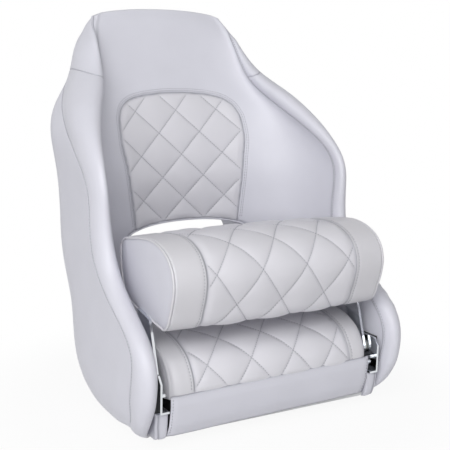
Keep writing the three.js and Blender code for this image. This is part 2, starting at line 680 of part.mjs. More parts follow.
const onBracket = ([ahead, up]) => [
  pivotY - ahead * (ahead > 0 ? bracketFront : bracketRear),
  pivotZ + up * (up > 0 ? bracketUp : pivotZ - bracketBottom),
];
const screwPlaces = bracketScrewShares.map(onBracket);
function hingeBracket() {
  const plate = plateX(bracketShares.map(onBracket), bracketInside, bracketOutside);
  const flange = box(
    [bracketOutside - bracketFlangeReach, pivotY - bracketFront, bracketBottom],
    [bracketOutside - bracketWall / 2, pivotY + bracketRear, bracketBottom + bracketWall],
  );
  const holes = [
    rodX(boltRadius + holeGap, bracketInside - overrun, bracketOutside + overrun, pivotY, pivotZ),
    ...screwPlaces.map(([y, z]) =>
      rodX(smallScrewRadius + holeGap, bracketInside - overrun, bracketOutside + overrun, y, z),
    ),
  ];
  return cut(join(plate, flange), ...holes);
}
function hingeBlock() {
  const block = box(
    [blockInside, pivotY - bracketFront * blockFrontShare, bracketBottom],
    [blockInside + blockWall, pivotY + bracketRear, pivotZ + bracketUp],
  );
  const through = [blockInside - overrun, blockInside + blockWall + overrun];
  const holes = screwPlaces.map(([y, z]) => rodX(smallScrewRadius + holeGap, ...through, y, z));
  return inHollow(cut(block, rodX(nutRadius + holeGap, ...through, pivotY, pivotZ), ...holes));
}
function pivotBolt() {
  const headEnd = armInside - gap;
  const head = rodX(boltHead, headEnd - boltHeadHeight, headEnd, pivotY, pivotZ, round.fine);
  const shank = rodX(boltRadius, headEnd - boltHeadHeight / 2, blockInside + nutHeight, pivotY, pivotZ);
  return join(head, shank);
}
function ringX(outer, inner, fromX, toX) {
  const ring = rodX(outer, fromX, toX, pivotY, pivotZ, round.fine);
  return cut(ring, rodX(inner, fromX - overrun, toX + overrun, pivotY, pivotZ));
}
const pivotBush = () => ringX(bushRadius, boltRadius + holeGap, armOutside + gap, bushOutside);
function pivotNut() {
  const nut = rodX(nutRadius, blockInside, blockInside + nutHeight, pivotY, pivotZ, round.nut);
  return cut(nut, rodX(boltRadius + holeGap, blockInside - overrun, blockInside + blockWall, pivotY, pivotZ));
}
function bracketScrew(y, z) {
  const head = rodX(smallScrewHead, bracketInside - gap - smallScrewHeadHeight, bracketInside - gap, y, z);
  const shank = rodX(smallScrewRadius, bracketInside - smallScrewHeadHeight / 2, blockInside + nutHeight, y, z);
  return join(head, shank);
}

// Places along the arm: so far from the pivot, and so far in front of its middle line
function alongArm(along, ahead, turn = 0) {
  const lean = armLean * degrees - turn * degrees;
  return [
    pivotY + along * Math.sin(lean) - ahead * Math.cos(lean),
    pivotZ + along * Math.cos(lean) + ahead * Math.sin(lean),
  ];
}
const stopAside = armPivotRadius + stopRadius + gap;
const stopPin = (place) => rodX(stopRadius, armInside, bracketInside - gap, ...place);
const restStop = () => stopPin(alongArm(stopReach * restStopShare, -stopAside));
const downStop = () => stopPin(alongArm(stopReach, stopAside, downAngle));

// Bolster: its side view, flat underside, board, ends and piping
const bolsterDepth = bolsterAhead + bolsterBehind;
const bolsterHeight = bolsterTop - bolsterBottom;
const bolsterOutline = bolsterShares.map(([forward, up]) => [
  pivotY + bolsterBehind - bolsterDepth * forward,
  bolsterBottom + bolsterHeight * up,
]);
const undersideRear = new THREE.Vector2(...bolsterOutline[0]);
const undersideFront = new THREE.Vector2(...bolsterOutline[1]);
const undersideAlong = undersideRear.clone().sub(undersideFront).normalize();
const undersideUp = new THREE.Vector2(-undersideAlong.y, undersideAlong.x);
// A point on the underside: so far back from its front end and so far above it
function onUnderside(back, above) {
  const p = undersideFront.clone().addScaledVector(undersideAlong, back).addScaledVector(undersideUp, above);
  return [p.x, p.y];
}
function slabOnUnderside(from, to, low, high, fromX, toX) {
  const outline = [onUnderside(from, low), onUnderside(to, low), onUnderside(to, high), onUnderside(from, high)];
  return plateX(outline, fromX, toX);
}
// The side view's outline drawn in by a margin
function insetOutline(outline, margin) {
  return outline.map(([y, z], i) => {
    const [beforeY, beforeZ] = outline[(i + outline.length - 1) % outline.length];
    const [afterY, afterZ] = outline[(i + 1) % outline.length];
    const along = new THREE.Vector2(afterY - beforeY, afterZ - beforeZ).normalize();
    return [y + along.y * margin, z - along.x * margin];
  });
}
const bolsterBoardHalfWidth = bolsterHalfWidth - bolsterBoardSetback;
const armScrewPlaces = armScrewRows.map((back) => [armInside - armScrewInset, back]);
const upFromUnderside = new THREE.Quaternion().setFromUnitVectors(
  new THREE.Vector3(0, 1, 0), new THREE.Vector3(0, undersideUp.x, undersideUp.y),
);
// A rod that stands on the underside
function rodOnUnderside(radius, low, high, x, back) {
  const rod = new THREE.CylinderGeometry(radius, radius, high - low, round.coarse);
  const [y, z] = onUnderside(back, (low + high) / 2);
  return rod.applyQuaternion(upFromUnderside).translate(x, y, z);
}
function bolsterPad() {
  const pad = plateX(bolsterOutline.slice().reverse(), -bolsterHalfWidth, bolsterHalfWidth);
  const room = slabOnUnderside(
    bolsterBoardStart - gap, bolsterBoardStart + bolsterBoardDepth + gap, -overrun, bolsterBoardHeight + gap,
    -bolsterBoardHalfWidth - gap, bolsterBoardHalfWidth + gap,
  );
  return cut(pad, room);
}
function bolsterBoard() {
  const board = slabOnUnderside(
    bolsterBoardStart, bolsterBoardStart + bolsterBoardDepth, 0, bolsterBoardHeight,
    -bolsterBoardHalfWidth, bolsterBoardHalfWidth,
  );
  const holes = [-1, 1].flatMap((side) =>
    armScrewPlaces.map(([x, back]) =>
      rodOnUnderside(smallScrewRadius + holeGap, -overrun, bolsterBoardHeight + overrun, side * x, back),
    ),
  );
  return cut(board, ...holes);
}
const endInset = pipingInset + pipingRadius + pipingRoom;
const bolsterEnd = () =>
  plateX(
    insetOutline(bolsterOutline, endInset).reverse(), bolsterHalfWidth + gap, bolsterHalfWidth + gap + bolsterEndWall,
  );
function bolsterPiping() {
  const x = bolsterHalfWidth + gap + pipingRadius;
  const points = insetOutline(bolsterOutline, pipingInset).map(([y, z]) => new THREE.Vector3(x, y, z));
  const path = new THREE.CatmullRomCurve3(points, true, "catmullrom", pipingTensionShare);
  const section = new THREE.Shape();
  for (let i = 0; i < pipingSides; i++) {
    const turn = (i / pipingSides) * 2 * Math.PI;
    const at = [pipingRadius * Math.cos(turn), pipingRadius * Math.sin(turn)];
    if (i === 0) section.moveTo(...at);
    else section.lineTo(...at);
  }
  return new THREE.ExtrudeGeometry(section, { steps: 2 * points.length, extrudePath: path });
}

// Arm with its flange under the bolster
function arm() {
  const flangeLow = -gap - armWall;
  const pivot = new THREE.Vector2(pivotY, pivotZ);
  const aheadOf = new THREE.Vector2(...alongArm(0, 1)).sub(pivot);
  const frontNow = undersideFront.clone().sub(pivot).dot(aheadOf);
  const flangeStart = (armPivotRadius - frontNow) / undersideAlong.dot(aheadOf);
  const end = [];
  for (let i = 0; i <= armEndSteps; i++) {
    const turn = (i / armEndSteps) * Math.PI;
    end.push(alongArm(-armPivotRadius * Math.sin(turn), armPivotRadius * Math.cos(turn)));
  }
  const waist = alongArm(armPivotRadius * 2, -armPivotRadius);
  const outline = [
    ...end, waist, onUnderside(flangeStart + armTopWidth, -gap), onUnderside(flangeStart, -gap),
  ];
  const plate = plateX(outline, armInside, armOutside);
  const flange = slabOnUnderside(
    flangeStart, flangeStart + armTopWidth, flangeLow, -gap, armInside - armFlangeReach, armInside + armWall / 2,
  );
  const holes = [
    rodX(boltRadius + holeGap, armInside - overrun, armOutside + overrun, pivotY, pivotZ),
    ...armScrewPlaces.map(([x, back]) =>
      rodOnUnderside(smallScrewRadius + holeGap, flangeLow - overrun, overrun, x, back),
    ),
  ];
  return cut(join(plate, flange), ...holes);
}
function armScrew(x, back) {
  const headTop = -2 * gap - armWall;
  const shankTop = bolsterBoardHeight * armScrewDepthShare;
  const head = rodOnUnderside(smallScrewHead, headTop - smallScrewHeadHeight, headTop, x, back);
  const shank = rodOnUnderside(smallScrewRadius, headTop - smallScrewHeadHeight / 2, shankTop, x, back);
  return join(head, shank);
}

place("base_board", baseBoard(), plywood());
insertPlaces.forEach(([x, y], i) => place("mount_insert_" + (i + 1), mountInsert(x, y), stainless()));
shellScrewPlaces.forEach(([x, y], i) => place("shell_screw_" + (i + 1), shellScrew(x, y), stainless()));
place("shell_floor", shellFloor(), moulded());
place("shell_back", shellBack(), moulded());
placePair("shell_side", shellSide(), moulded);
place("outer_cover", outerCover(), vinyl());
place("arch_lining", archLining(), vinyl());
placePair("wing_pad", wingPad(), vinyl);
placePair("head_side", headSide(), vinyl);
place("backrest_pad", backrestPad(), vinyl());
place("back_quilt_panel", quiltPanel(), quiltedVinyl());
place("seat_riser", seatRiser(), plywood());
place("cushion_board", cushionBoard(), plywood());
place("seat_cushion", seatCushion(), quiltedVinyl());
place("front_skirt", frontSkirt(), vinyl());
placePair("pocket_sill", pocketSill(), vinyl);
placePair("hinge_block", hingeBlock(), blackPlastic);
placePair("hinge_bracket", hingeBracket(), stainless);
placePair("pivot_bolt", pivotBolt(), stainless);
placePair("pivot_bush", pivotBush(), nylon);
placePair("pivot_nut", pivotNut(), stainless);
placePair("rest_stop", restStop(), stainless);
placePair("down_stop", downStop(), stainless);
screwPlaces.forEach(([y, z], i) => placePair("bracket_screw_" + (i + 1), bracketScrew(y, z), stainless));
placePair("arm", arm(), stainless);
armScrewPlaces.forEach(([x, back], i) => placePair("arm_screw_" + (i + 1), armScrew(x, back), stainless));
place("bolster_board", bolsterBoard(), plywood());
place("bolster_pad", bolsterPad(), quiltedVinyl());
placePair("bolster_end", bolsterEnd(), vinyl);
placePair("bolster_piping", bolsterPiping(), vinyl);

export default seat;
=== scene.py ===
import json
import math

import bpy
import numpy as np
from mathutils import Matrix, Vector
from mathutils.bvhtree import BVHTree

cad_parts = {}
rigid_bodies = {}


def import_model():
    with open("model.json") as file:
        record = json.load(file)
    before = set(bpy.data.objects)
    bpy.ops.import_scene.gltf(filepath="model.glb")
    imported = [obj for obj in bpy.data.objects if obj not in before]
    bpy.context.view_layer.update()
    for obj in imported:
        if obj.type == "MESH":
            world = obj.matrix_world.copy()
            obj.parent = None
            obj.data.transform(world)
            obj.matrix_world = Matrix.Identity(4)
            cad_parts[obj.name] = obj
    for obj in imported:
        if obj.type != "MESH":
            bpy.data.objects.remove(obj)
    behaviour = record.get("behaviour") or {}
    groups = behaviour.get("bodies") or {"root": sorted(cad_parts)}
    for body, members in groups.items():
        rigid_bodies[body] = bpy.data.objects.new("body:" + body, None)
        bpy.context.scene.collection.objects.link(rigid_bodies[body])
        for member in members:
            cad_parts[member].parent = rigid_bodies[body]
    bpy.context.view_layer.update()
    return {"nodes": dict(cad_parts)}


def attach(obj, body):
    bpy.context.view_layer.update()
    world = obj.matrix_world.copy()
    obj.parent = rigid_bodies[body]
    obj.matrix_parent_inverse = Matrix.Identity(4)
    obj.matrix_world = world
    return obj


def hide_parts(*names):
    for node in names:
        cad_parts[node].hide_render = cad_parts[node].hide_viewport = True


# Helm bucket seat with a flip-up bolster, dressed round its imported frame.
# Sizes in this file are millimetres in the frame's axes, and MM turns them to metres where a mesh is made.

bl_info = {
    "name": "Helm Bucket Seat",
    "version": (1, 0, 0),
    "blender": (4, 5, 0),
    "location": "View3D > Sidebar > Helm Seat",
    "description": "Upholstery, hardware and studio of a helm bucket seat with a flip-up bolster",
    "category": "Object",
}

MM = 0.001
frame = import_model()
# The sign of X and the word of each side
SIDES = ((1, "right"), (-1, "left"))

# The bucket's lines, as the frame has them

SEAT_HALF_WIDTH = 298.0
SEAT_DEPTH = 600.0
SEAT_HEIGHT = 805.0
HEAD_CROWN = 14.0
CROWN_START = 660.0
SHOULDER = 669.0
# height, innerX, innerY, middleY, noseX, noseY, outerX, outerY, wideX, rearY: heights are shares of
# SEAT_HEIGHT, X values of SEAT_HALF_WIDTH and Y values of SEAT_DEPTH
BUCKET_SHARES = np.array([
    [0.0, 0.76, -0.185, 0.2, 0.783, -0.213, 0.8, -0.16, 0.81, 0.26],
    [0.018, 0.82, -0.225, 0.24, 0.848, -0.253, 0.87, -0.197, 0.88, 0.295],
    [0.042, 0.846, -0.268, 0.265, 0.893, -0.3, 0.933, -0.243, 0.937, 0.335],
    [0.082, 0.856, -0.307, 0.28, 0.916, -0.347, 0.97, -0.287, 0.977, 0.375],
    [0.132, 0.856, -0.335, 0.287, 0.923, -0.382, 0.987, -0.3, 0.993, 0.412],
    [0.187, 0.856, -0.355, 0.29, 0.925, -0.393, 0.99, -0.317, 1.0, 0.437],
    [0.226, 0.856, -0.342, 0.292, 0.925, -0.38, 0.99, -0.322, 1.0, 0.45],
    [0.259, 0.856, -0.303, 0.293, 0.925, -0.345, 0.99, -0.298, 1.0, 0.458],
    [0.294, 0.856, -0.235, 0.293, 0.925, -0.278, 0.99, -0.218, 1.0, 0.467],
    [0.325, 0.856, -0.165, 0.293, 0.925, -0.2, 0.99, -0.135, 1.0, 0.475],
    [0.36, 0.856, -0.107, 0.293, 0.925, -0.137, 0.99, -0.075, 1.0, 0.48],
    [0.4, 0.857, -0.067, 0.294, 0.925, -0.093, 0.99, -0.02, 1.0, 0.483],
    [0.447, 0.863, -0.04, 0.295, 0.926, -0.07, 0.99, 0.007, 1.0, 0.483],
    [0.509, 0.88, -0.031, 0.295, 0.93, -0.06, 0.99, 0.01, 1.0, 0.487],
    [0.559, 0.893, -0.033, 0.295, 0.933, -0.062, 0.99, 0.013, 1.0, 0.497],
    [0.596, 0.9, -0.027, 0.302, 0.936, -0.06, 0.99, 0.027, 0.998, 0.512],
    [0.627, 0.892, -0.005, 0.31, 0.934, -0.04, 0.985, 0.065, 0.995, 0.53],
    [0.665, 0.862, 0.05, 0.32, 0.925, 0.005, 0.975, 0.13, 0.988, 0.558],
    [0.708, 0.798, 0.135, 0.338, 0.895, 0.077, 0.95, 0.205, 0.965, 0.588],
    [0.75, 0.728, 0.225, 0.362, 0.832, 0.16, 0.888, 0.285, 0.912, 0.603],
    [0.784, 0.668, 0.298, 0.385, 0.765, 0.225, 0.825, 0.345, 0.845, 0.61],
    [0.831, 0.59, 0.352, 0.417, 0.655, 0.318, 0.715, 0.415, 0.735, 0.622],
    [0.894, 0.567, 0.412, 0.458, 0.6, 0.397, 0.636, 0.477, 0.648, 0.62],
    [0.944, 0.553, 0.457, 0.49, 0.583, 0.447, 0.602, 0.512, 0.607, 0.605],
    [0.976, 0.538, 0.485, 0.508, 0.562, 0.478, 0.577, 0.528, 0.58, 0.585],
    [1.0, 0.503, 0.51, 0.528, 0.522, 0.504, 0.534, 0.533, 0.537, 0.558],
])
COLUMNS = ["inner_x", "inner_y", "middle_y", "nose_x", "nose_y", "outer_x", "outer_y", "wide_x", "rear_y"]
INNER_POWER = np.array([[0, 4.5], [0.28, 4.5], [0.43, 2.6], [0.78, 2.6], [1, 2.4]])
OUTER_POWER = np.array([[0, 3.6], [0.15, 4.5], [0.8, 4.5], [1, 3.6]])
FLARE_START = 0.78
NOSE_BLUNT = 0.35

ARCH = {"half": 157.9, "top": 354.2, "drop": 20.0, "bottom": 200.0, "corner": 34.0}
QUILT_SHARES = np.array([
    [0, 0.83], [0.1, 0.85], [0.33, 0.907], [0.51, 0.953], [0.67, 1], [0.8, 0.99], [0.89, 0.93],
    [0.95, 0.78], [0.985, 0.5], [1, 0.15],
])
QUILT_BOTTOM = 334.9
QUILT_TOP = 633.9
QUILT_HALF = 149.9
# A crossing of the panel's quilting lines in the front view, and the lines' pitch
QUILT_CROSSING_X = -5.0
QUILT_CROSSING_Z = 500.0
QUILT_PITCH_X = 100.0
QUILT_PITCH_Z = 96.4

CUSHION_HALF = 224.0
CUSHION_SEAM = 176.0
CUSHION_CORNER = 24.0
CUSHION_BOTTOM = 90.3
CUSHION_TOP = 192.0
CUSHION_FRONT = -206.1
CUSHION_REAR = 176.1
# Side view from the bottom rear, round the front, to the top rear
CUSHION_SHARES = np.array([
    [0, 0], [0.5, 0], [0.97, 0], [1, 0.03], [1, 0.14], [0.992, 0.36], [0.965, 0.55], [0.93, 0.7],
    [0.885, 0.8], [0.8, 0.91], [0.7, 0.97], [0.52, 1], [0.2, 1], [0.04, 0.96], [0, 0.85], [0, 0.4],
])
BOLSTER_HALF = 228.0
BOLSTER_SEAM = 165.0
BOLSTER_FRONT = -240.0
BOLSTER_REAR = 2.0
BOLSTER_BOTTOM = 229.0
BOLSTER_TOP = 384.0
BOLSTER_MIDDLE = (-120.0, 312.0)
# Side view from the flat underside, round the front and the top, to the back
BOLSTER_SHARES = np.array([
    [0.29, 0.06], [0.515, 0.025], [0.727, -0.025], [0.82, -0.03], [0.875, 0.04], [0.925, 0.2], [0.97, 0.38],
    [0.99, 0.56], [0.965, 0.72], [0.9, 0.85], [0.78, 0.95], [0.62, 1], [0.42, 0.985], [0.22, 0.935],
    [0.055, 0.875], [0.005, 0.8], [-0.005, 0.64], [0.012, 0.43], [0.065, 0.235], [0.16, 0.125],
])

# How far a cushion's quilted face is crowned, and its diamonds' depth as a share of the quilting depth
CUSHION_CROWN = 3.0
CUSHION_QUILTING_SHARE = 0.85


def smooth_curve(places, values, at):
    """A smooth curve through the values that never passes its own highs and lows."""
    spans = np.diff(places)
    slopes = np.diff(values) / spans
    product = slopes[:-1] * slopes[1:]
    total = slopes[:-1] + slopes[1:]
    inner = np.where(product > 0, 2 * product / np.where(total == 0, 1, total), 0)
    tangents = np.concatenate([slopes[:1], inner, slopes[-1:]])
    i = np.clip(np.searchsorted(places, at, side="right") - 1, 0, len(spans) - 1)
    t = np.clip((at - places[i]) / spans[i], 0, 1)
    ease = t * t * (3 - 2 * t)
    leaving = t * (1 - t) ** 2 * tangents[i] * spans[i]
    arriving = t * t * (1 - t) * tangents[i + 1] * spans[i]
    return values[i] + (values[i + 1] - values[i]) * ease + leaving - arriving


def sections(z):
    """All sizes of the bucket's level sections at the heights z."""
    z = np.asarray(z, float)
    # foam bridges the small changes of slope between the heights that were measured
    reach = 26 * smoothstep(z, 60, 170) * (1 - smoothstep(z, 690, 780))
    shares = [(z + k * reach) / SEAT_HEIGHT for k in (-1, -0.5, 0, 0.5, 1)]

    def mean(places, values):
        return sum(smooth_curve(places, values, share) for share in shares) / len(shares)

    full = {"x": SEAT_HALF_WIDTH, "y": SEAT_DEPTH}
    places = BUCKET_SHARES[:, 0]
    made = {
        name: mean(places, BUCKET_SHARES[:, i + 1]) * full[name[-1]] for i, name in enumerate(COLUMNS)
    }
    made["inner_power"] = mean(INNER_POWER[:, 0], INNER_POWER[:, 1])
    made["outer_power"] = mean(OUTER_POWER[:, 0], OUTER_POWER[:, 1])
    return made


def smoothstep(x, low, high):
    t = np.clip((x - low) / (high - low), 0, 1)
    return t * t * (3 - 2 * t)


def crown_lift(x, z):
    return HEAD_CROWN * (1 - (x / SEAT_HALF_WIDTH) ** 2) * smoothstep(z, CROWN_START, SEAT_HEIGHT)


ARC_SAMPLES = np.linspace(-math.pi / 2, math.pi / 2, 481)


def face_arc(s, i, outer):
    """The inner or the outer face of one level section, as points from its left end to its right."""
    power = s["outer_power" if outer else "inner_power"][i]
    across = np.abs(np.sin(ARC_SAMPLES))
    along = np.abs(np.cos(ARC_SAMPLES))
    radius = (across**power + along**power) ** (-1 / power)
    front = s["outer_y" if outer else "inner_y"][i]
    back = s["rear_y" if outer else "middle_y"][i]
    half = s["wide_x" if outer else "inner_x"][i]
    if outer:
        turn = np.arctan2(across ** (power / 2), along ** (power / 2)) / (math.pi / 2)
        half = half - smoothstep(turn, FLARE_START, 1) * (half - s["outer_x"][i])
    x = half * radius * np.sign(ARC_SAMPLES) * across
    return np.stack([x, front + (back - front) * radius * along], 1)


def nose_arc(s, i):
    """The padded edge of one level section on the right, from its inner seam to its outer one."""
    half = NOSE_BLUNT * (s["outer_x"][i] - s["inner_x"][i])
    reach = (8 * s["nose_y"][i] - s["inner_y"][i] - s["outer_y"][i]) / 6
    a = np.array([s["inner_x"][i], s["inner_y"][i]])
    b = np.array([s["nose_x"][i] - half, reach])
    c = np.array([s["nose_x"][i] + half, reach])
    d = np.array([s["outer_x"][i], s["outer_y"][i]])
    t = np.linspace(0, 1, 121)[:, None]
    return a * (1 - t) ** 3 + 3 * b * t * (1 - t) ** 2 + 3 * c * t * t * (1 - t) + d * t**3


def depth_at(x, z, outer):
    """Y of the inner or outer face at places of the front view, near the middle of the back."""
    s = sections(z)
    if outer:
        power, front, back, half = s["outer_power"], s["outer_y"], s["rear_y"], s["wide_x"]
    else:
        power, front, back, half = s["inner_power"], s["inner_y"], s["middle_y"], s["inner_x"]
    share = np.clip(1 - (np.abs(x) / half) ** power, 0, 1) ** (1 / power)
    return front + (back - front) * share


# Lines and grids

EDGE_STEPS = np.array([0, 0.9, 1.9, 3.0, 4.2, 5.6, 7.4, 9.6, 12.5, 16.0])

# Length and pitch of the stitches beside seams and along the quilting
SEAM_STITCH = (4.0, 6.2)
QUILT_STITCH = (3.6, 5.6)


def stations(length, count):
    """Distances along a line, close together at both ends, where the cover rolls into a seam."""
    edge = EDGE_STEPS * min(1, length / 45)
    middle = np.linspace(edge[-1], length - edge[-1], count)
    return np.concatenate([edge[:-1], middle, length - edge[-2::-1]])


def run_length(line):
    return np.concatenate([[0], np.cumsum(np.linalg.norm(np.diff(line, axis=0), axis=1))])


def along(line, distances):
    """Points of a polyline at distances from its start."""
    run = run_length(line)
    return np.stack([np.interp(distances, run, line[:, k]) for k in range(line.shape[1])], 1)


def rounded_along(line, distances, reach):
    """Points of a polyline at distances from its start, with its corners rounded over reach to both sides."""
    return sum(along(line, distances + reach * share) for share in np.linspace(-1, 1, 9)) / 9


def foam_rounding(z):
    """How far the foam under the cover rounds the wings' edges, in millimetres: more on the headrest."""
    return 11.0 * smoothstep(z, 690, 780)


def grid_normals(grid, wrap_rows=False, wrap_columns=False):
    def slope(axis, wrap):
        if wrap:
            return np.roll(grid, -1, axis) - np.roll(grid, 1, axis)
        return np.gradient(grid, axis=axis)

    normal = np.cross(slope(1, wrap_columns), slope(0, wrap_rows))
    return normal / np.maximum(np.linalg.norm(normal, axis=2, keepdims=True), 1e-9)


def tuck(distance, radius, depth):
    """How far the cover sinks towards a seam: a rolled edge of that radius and depth."""
    t = np.clip(1 - distance / radius, 0, 1)
    return depth * (1 - np.sqrt(1 - t * t))


def outline_distance(x, z, outline):
    """Distance from places of the front view to a closed outline, below 0 inside, and the nearest point."""
    best = np.full(x.shape, 1e9)
    near = np.zeros(x.shape + (2,))
    inside = np.zeros(x.shape, bool)
    for (ax, az), (bx, bz) in zip(outline, np.roll(outline, -1, axis=0)):
        dx, dz = bx - ax, bz - az
        t = np.clip(((x - ax) * dx + (z - az) * dz) / (dx * dx + dz * dz + 1e-12), 0, 1)
        px, pz = ax + t * dx, az + t * dz
        d = np.hypot(x - px, z - pz)
        closer = d < best
        best = np.where(closer, d, best)
        near[closer] = np.stack([px, pz], -1)[closer]
        crosses = (az > z) != (bz > z)
        with np.errstate(divide="ignore", invalid="ignore"):
            inside ^= crosses & (x < (bx - ax) * (z - az) / (bz - az) + ax)
    return np.where(inside, -best, best), near


def evenly_round(outline, count):
    """Points at even distances round a closed outline."""
    closed = np.concatenate([outline, outline[:1]])
    return along(closed, np.linspace(0, run_length(closed)[-1], count + 1)[:-1])


def arch_outline(steps=14):
    """The opening's outline in the front view, counter-clockwise from the bottom left."""
    half, top, corner, bottom = ARCH["half"], ARCH["top"], ARCH["corner"], ARCH["bottom"]
    side = top - ARCH["drop"]
    shoulder = side + ARCH["drop"] / 3

    def bend(*corners):
        a, b, c = np.array(corners, float)
        t = np.linspace(0, 1, steps)[:, None]
        return a * (1 - t) ** 2 + 2 * b * t * (1 - t) + c * t * t

    right = np.concatenate([
        bend((half - corner, bottom), (half, bottom), (half, bottom + corner)),
        bend((half, side - corner), (half, side), (half - corner, shoulder)),
        bend((half - corner, shoulder), (half / 2, top), (0, top))[1:],
    ])
    left = (right * [-1, 1])[::-1]
    return evenly_round(np.concatenate([right, left[1:]]), 260)


def quilt_outline():
    """The quilted panel's outline in the front view, before the opening trims it."""
    height = QUILT_TOP - QUILT_BOTTOM
    shares = np.linspace(0, 1, 90) ** 0.7
    out = smooth_curve(QUILT_SHARES[:, 0], QUILT_SHARES[:, 1], shares) * QUILT_HALF
    right = np.stack([out, QUILT_BOTTOM + shares * height], 1)
    return evenly_round(np.concatenate([right, (right * [-1, 1])[::-1]]), 360)


def outward_of(outline):
    """The outward direction at each point of a closed outline of the front view."""
    way = np.roll(outline, -1, 0) - np.roll(outline, 1, 0)
    way /= np.linalg.norm(way, axis=1, keepdims=True)
    out = np.stack([way[:, 1], -way[:, 0]], -1)
    return out if (out * (outline - outline.mean(axis=0))).sum() >= 0 else -out


def grown(outline, distance):
    """An outline of the front view, moved outward by a distance."""
    return outline + outward_of(outline) * distance


# Meshes


def mesh_object(name, points, faces, body):
    """A smooth-shaded mesh object from points in millimetres, riding on a body."""
    mesh = bpy.data.meshes.new(name)
    mesh.from_pydata((np.asarray(points) * MM).tolist(), [], [list(map(int, f)) for f in faces])
    mesh.validate()
    mesh.polygons.foreach_set("use_smooth", [True] * len(mesh.polygons))
    obj = bpy.data.objects.new(name, mesh)
    bpy.context.scene.collection.objects.link(obj)
    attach(obj, body)
    return obj


def grid_faces(rows, columns, wrap_rows=False, wrap_columns=False, keep=None):
    """The four-cornered faces of a grid, or those that keep allows."""
    r = np.arange(rows if wrap_rows else rows - 1)
    c = np.arange(columns if wrap_columns else columns - 1)
    rr, cc = np.meshgrid(r, c, indexing="ij")
    r2, c2 = (rr + 1) % rows, (cc + 1) % columns
    faces = np.stack([rr * columns + cc, rr * columns + c2, r2 * columns + c2, r2 * columns + cc], -1)
    return faces[keep] if keep is not None else faces.reshape(-1, 4)


def capped(grid, faces):
    """The faces of a tube of closed rows, with both ends closed, all facing outward."""
    rows, columns = grid.shape[:2]
    faces = [list(f) for f in faces]
    faces.append(list(range(columns))[::-1])
    faces.append(list(range((rows - 1) * columns, rows * columns)))
    points = grid.reshape(-1, 3)
    p, q, r = points[grid_faces(rows, columns, wrap_columns=True)[:, :3]].transpose(1, 0, 2)
    facing = (np.cross(q - p, r - p) * ((p + r) / 2 - points.mean(axis=0))).sum()
    return faces if facing >= 0 else [f[::-1] for f in faces]


def used_only(points, faces):
    used = np.unique(faces)
    lookup = np.full(len(points), -1)
    lookup[used] = np.arange(len(used))
    return points[used], lookup[faces], used


def solidify(obj, thickness):
    """Gives a cover its own thickness, on its hidden side."""
    modifier = obj.modifiers.new("Thickness", "SOLIDIFY")
    modifier.thickness = thickness * MM
    modifier.offset = -1


def point_attribute(obj, name, values):
    attribute = obj.data.attributes.new(name, "FLOAT", "POINT")
    attribute.data.foreach_set("value", np.asarray(values, np.float32))


def paint(obj, *materials):
    for material in materials:
        obj.data.materials.append(material)


# Materials


def linear(colour):
    """An sRGB hex colour as the linear values that Blender's sockets take."""
    value = colour.lstrip("#")
    parts = [int(value[k : k + 2], 16) / 255 for k in (0, 2, 4)]
    return [p / 12.92 if p <= 0.04045 else ((p + 0.055) / 1.055) ** 2.4 for p in parts] + [1.0]


def add(tree, kind, settings=None, links=None):
    """Adds a node.

    settings holds its properties and socket values, and links the sockets that feed its inputs.
    """
    node = tree.nodes.new(kind)
    for name, value in (settings or {}).items():
        if isinstance(name, int) or name in node.inputs:
            node.inputs[name].default_value = value
        else:
            setattr(node, name, value)
    for name, socket in (links or {}).items():
        tree.links.new(socket, node.inputs[name])
    return node


def new_material(name, **shader):
    """A material with a Principled shader set to the given socket values."""
    material = bpy.data.materials.new(name)
    material.use_nodes = True
    tree = material.node_tree
    tree.nodes.clear()
    body = add(tree, "ShaderNodeBsdfPrincipled", shader)
    add(tree, "ShaderNodeOutputMaterial", None, {"Surface": body.outputs[0]})
    return material, tree, body


def upholstery_vinyl(name, colour, shade):
    """Marine PVC on foam: an embossed leather grain under a satin top coat.

    The grain breaks the highlights into a soft sheen. The colour carries painted shade: the seam attribute
    darkens it where the cover rolls into a seam.
    A real grain cell is 0.9 mm across, too fine for the render, so it is drawn at 1.8 mm.
    """
    material, tree, body = new_material(name, IOR=1.53)
    place = add(tree, "ShaderNodeTexCoord").outputs["Object"]
    cell = 0.0018
    grain = add(
        tree, "ShaderNodeTexVoronoi", {"feature": "DISTANCE_TO_EDGE", "Scale": 1 / cell}, {"Vector": place}
    )
    creases = add(
        tree, "ShaderNodeTexNoise", {"Scale": 1 / 0.004, "Detail": 4.0, "Roughness": 0.6}, {"Vector": place}
    )
    height = add(
        tree, "ShaderNodeMath", {"operation": "ADD"}, {0: grain.outputs["Distance"], 1: creases.outputs["Fac"]}
    )
    bump = add(
        tree, "ShaderNodeBump", {"Strength": 0.22, "Distance": 0.0002}, {"Height": height.outputs[0]}
    )
    patches = add(tree, "ShaderNodeTexNoise", {"Scale": 1 / 0.07, "Detail": 2.0}, {"Vector": place})
    # painted shade: the seam attribute mixes the colour towards the shade colour in seams, hems and quilting
    # lines; the patches only vary the tone a little
    seam = add(tree, "ShaderNodeAttribute", {"attribute_name": "seam"})
    tone = add(
        tree, "ShaderNodeMapRange", {"From Min": 0.35, "From Max": 0.65, "To Min": 0.0, "To Max": 0.04},
        {"Value": patches.outputs["Fac"]},
    )
    dark = add(
        tree, "ShaderNodeMath", {"operation": "MULTIPLY_ADD", 1: 0.9, "use_clamp": True},
        {0: seam.outputs["Fac"], 2: tone.outputs[0]},
    )
    mix = add(
        tree, "ShaderNodeMix", {"data_type": "RGBA", 6: linear(colour), 7: linear(shade)}, {0: dark.outputs[0]}
    )
    gloss = add(
        tree, "ShaderNodeMapRange", {"From Min": 0.3, "From Max": 0.7, "To Min": 0.4, "To Max": 0.52},
        {"Value": creases.outputs["Fac"]},
    )
    tree.links.new(mix.outputs[2], body.inputs["Base Color"])
    tree.links.new(gloss.outputs[0], body.inputs["Roughness"])
    tree.links.new(bump.outputs[0], body.inputs["Normal"])
    return material


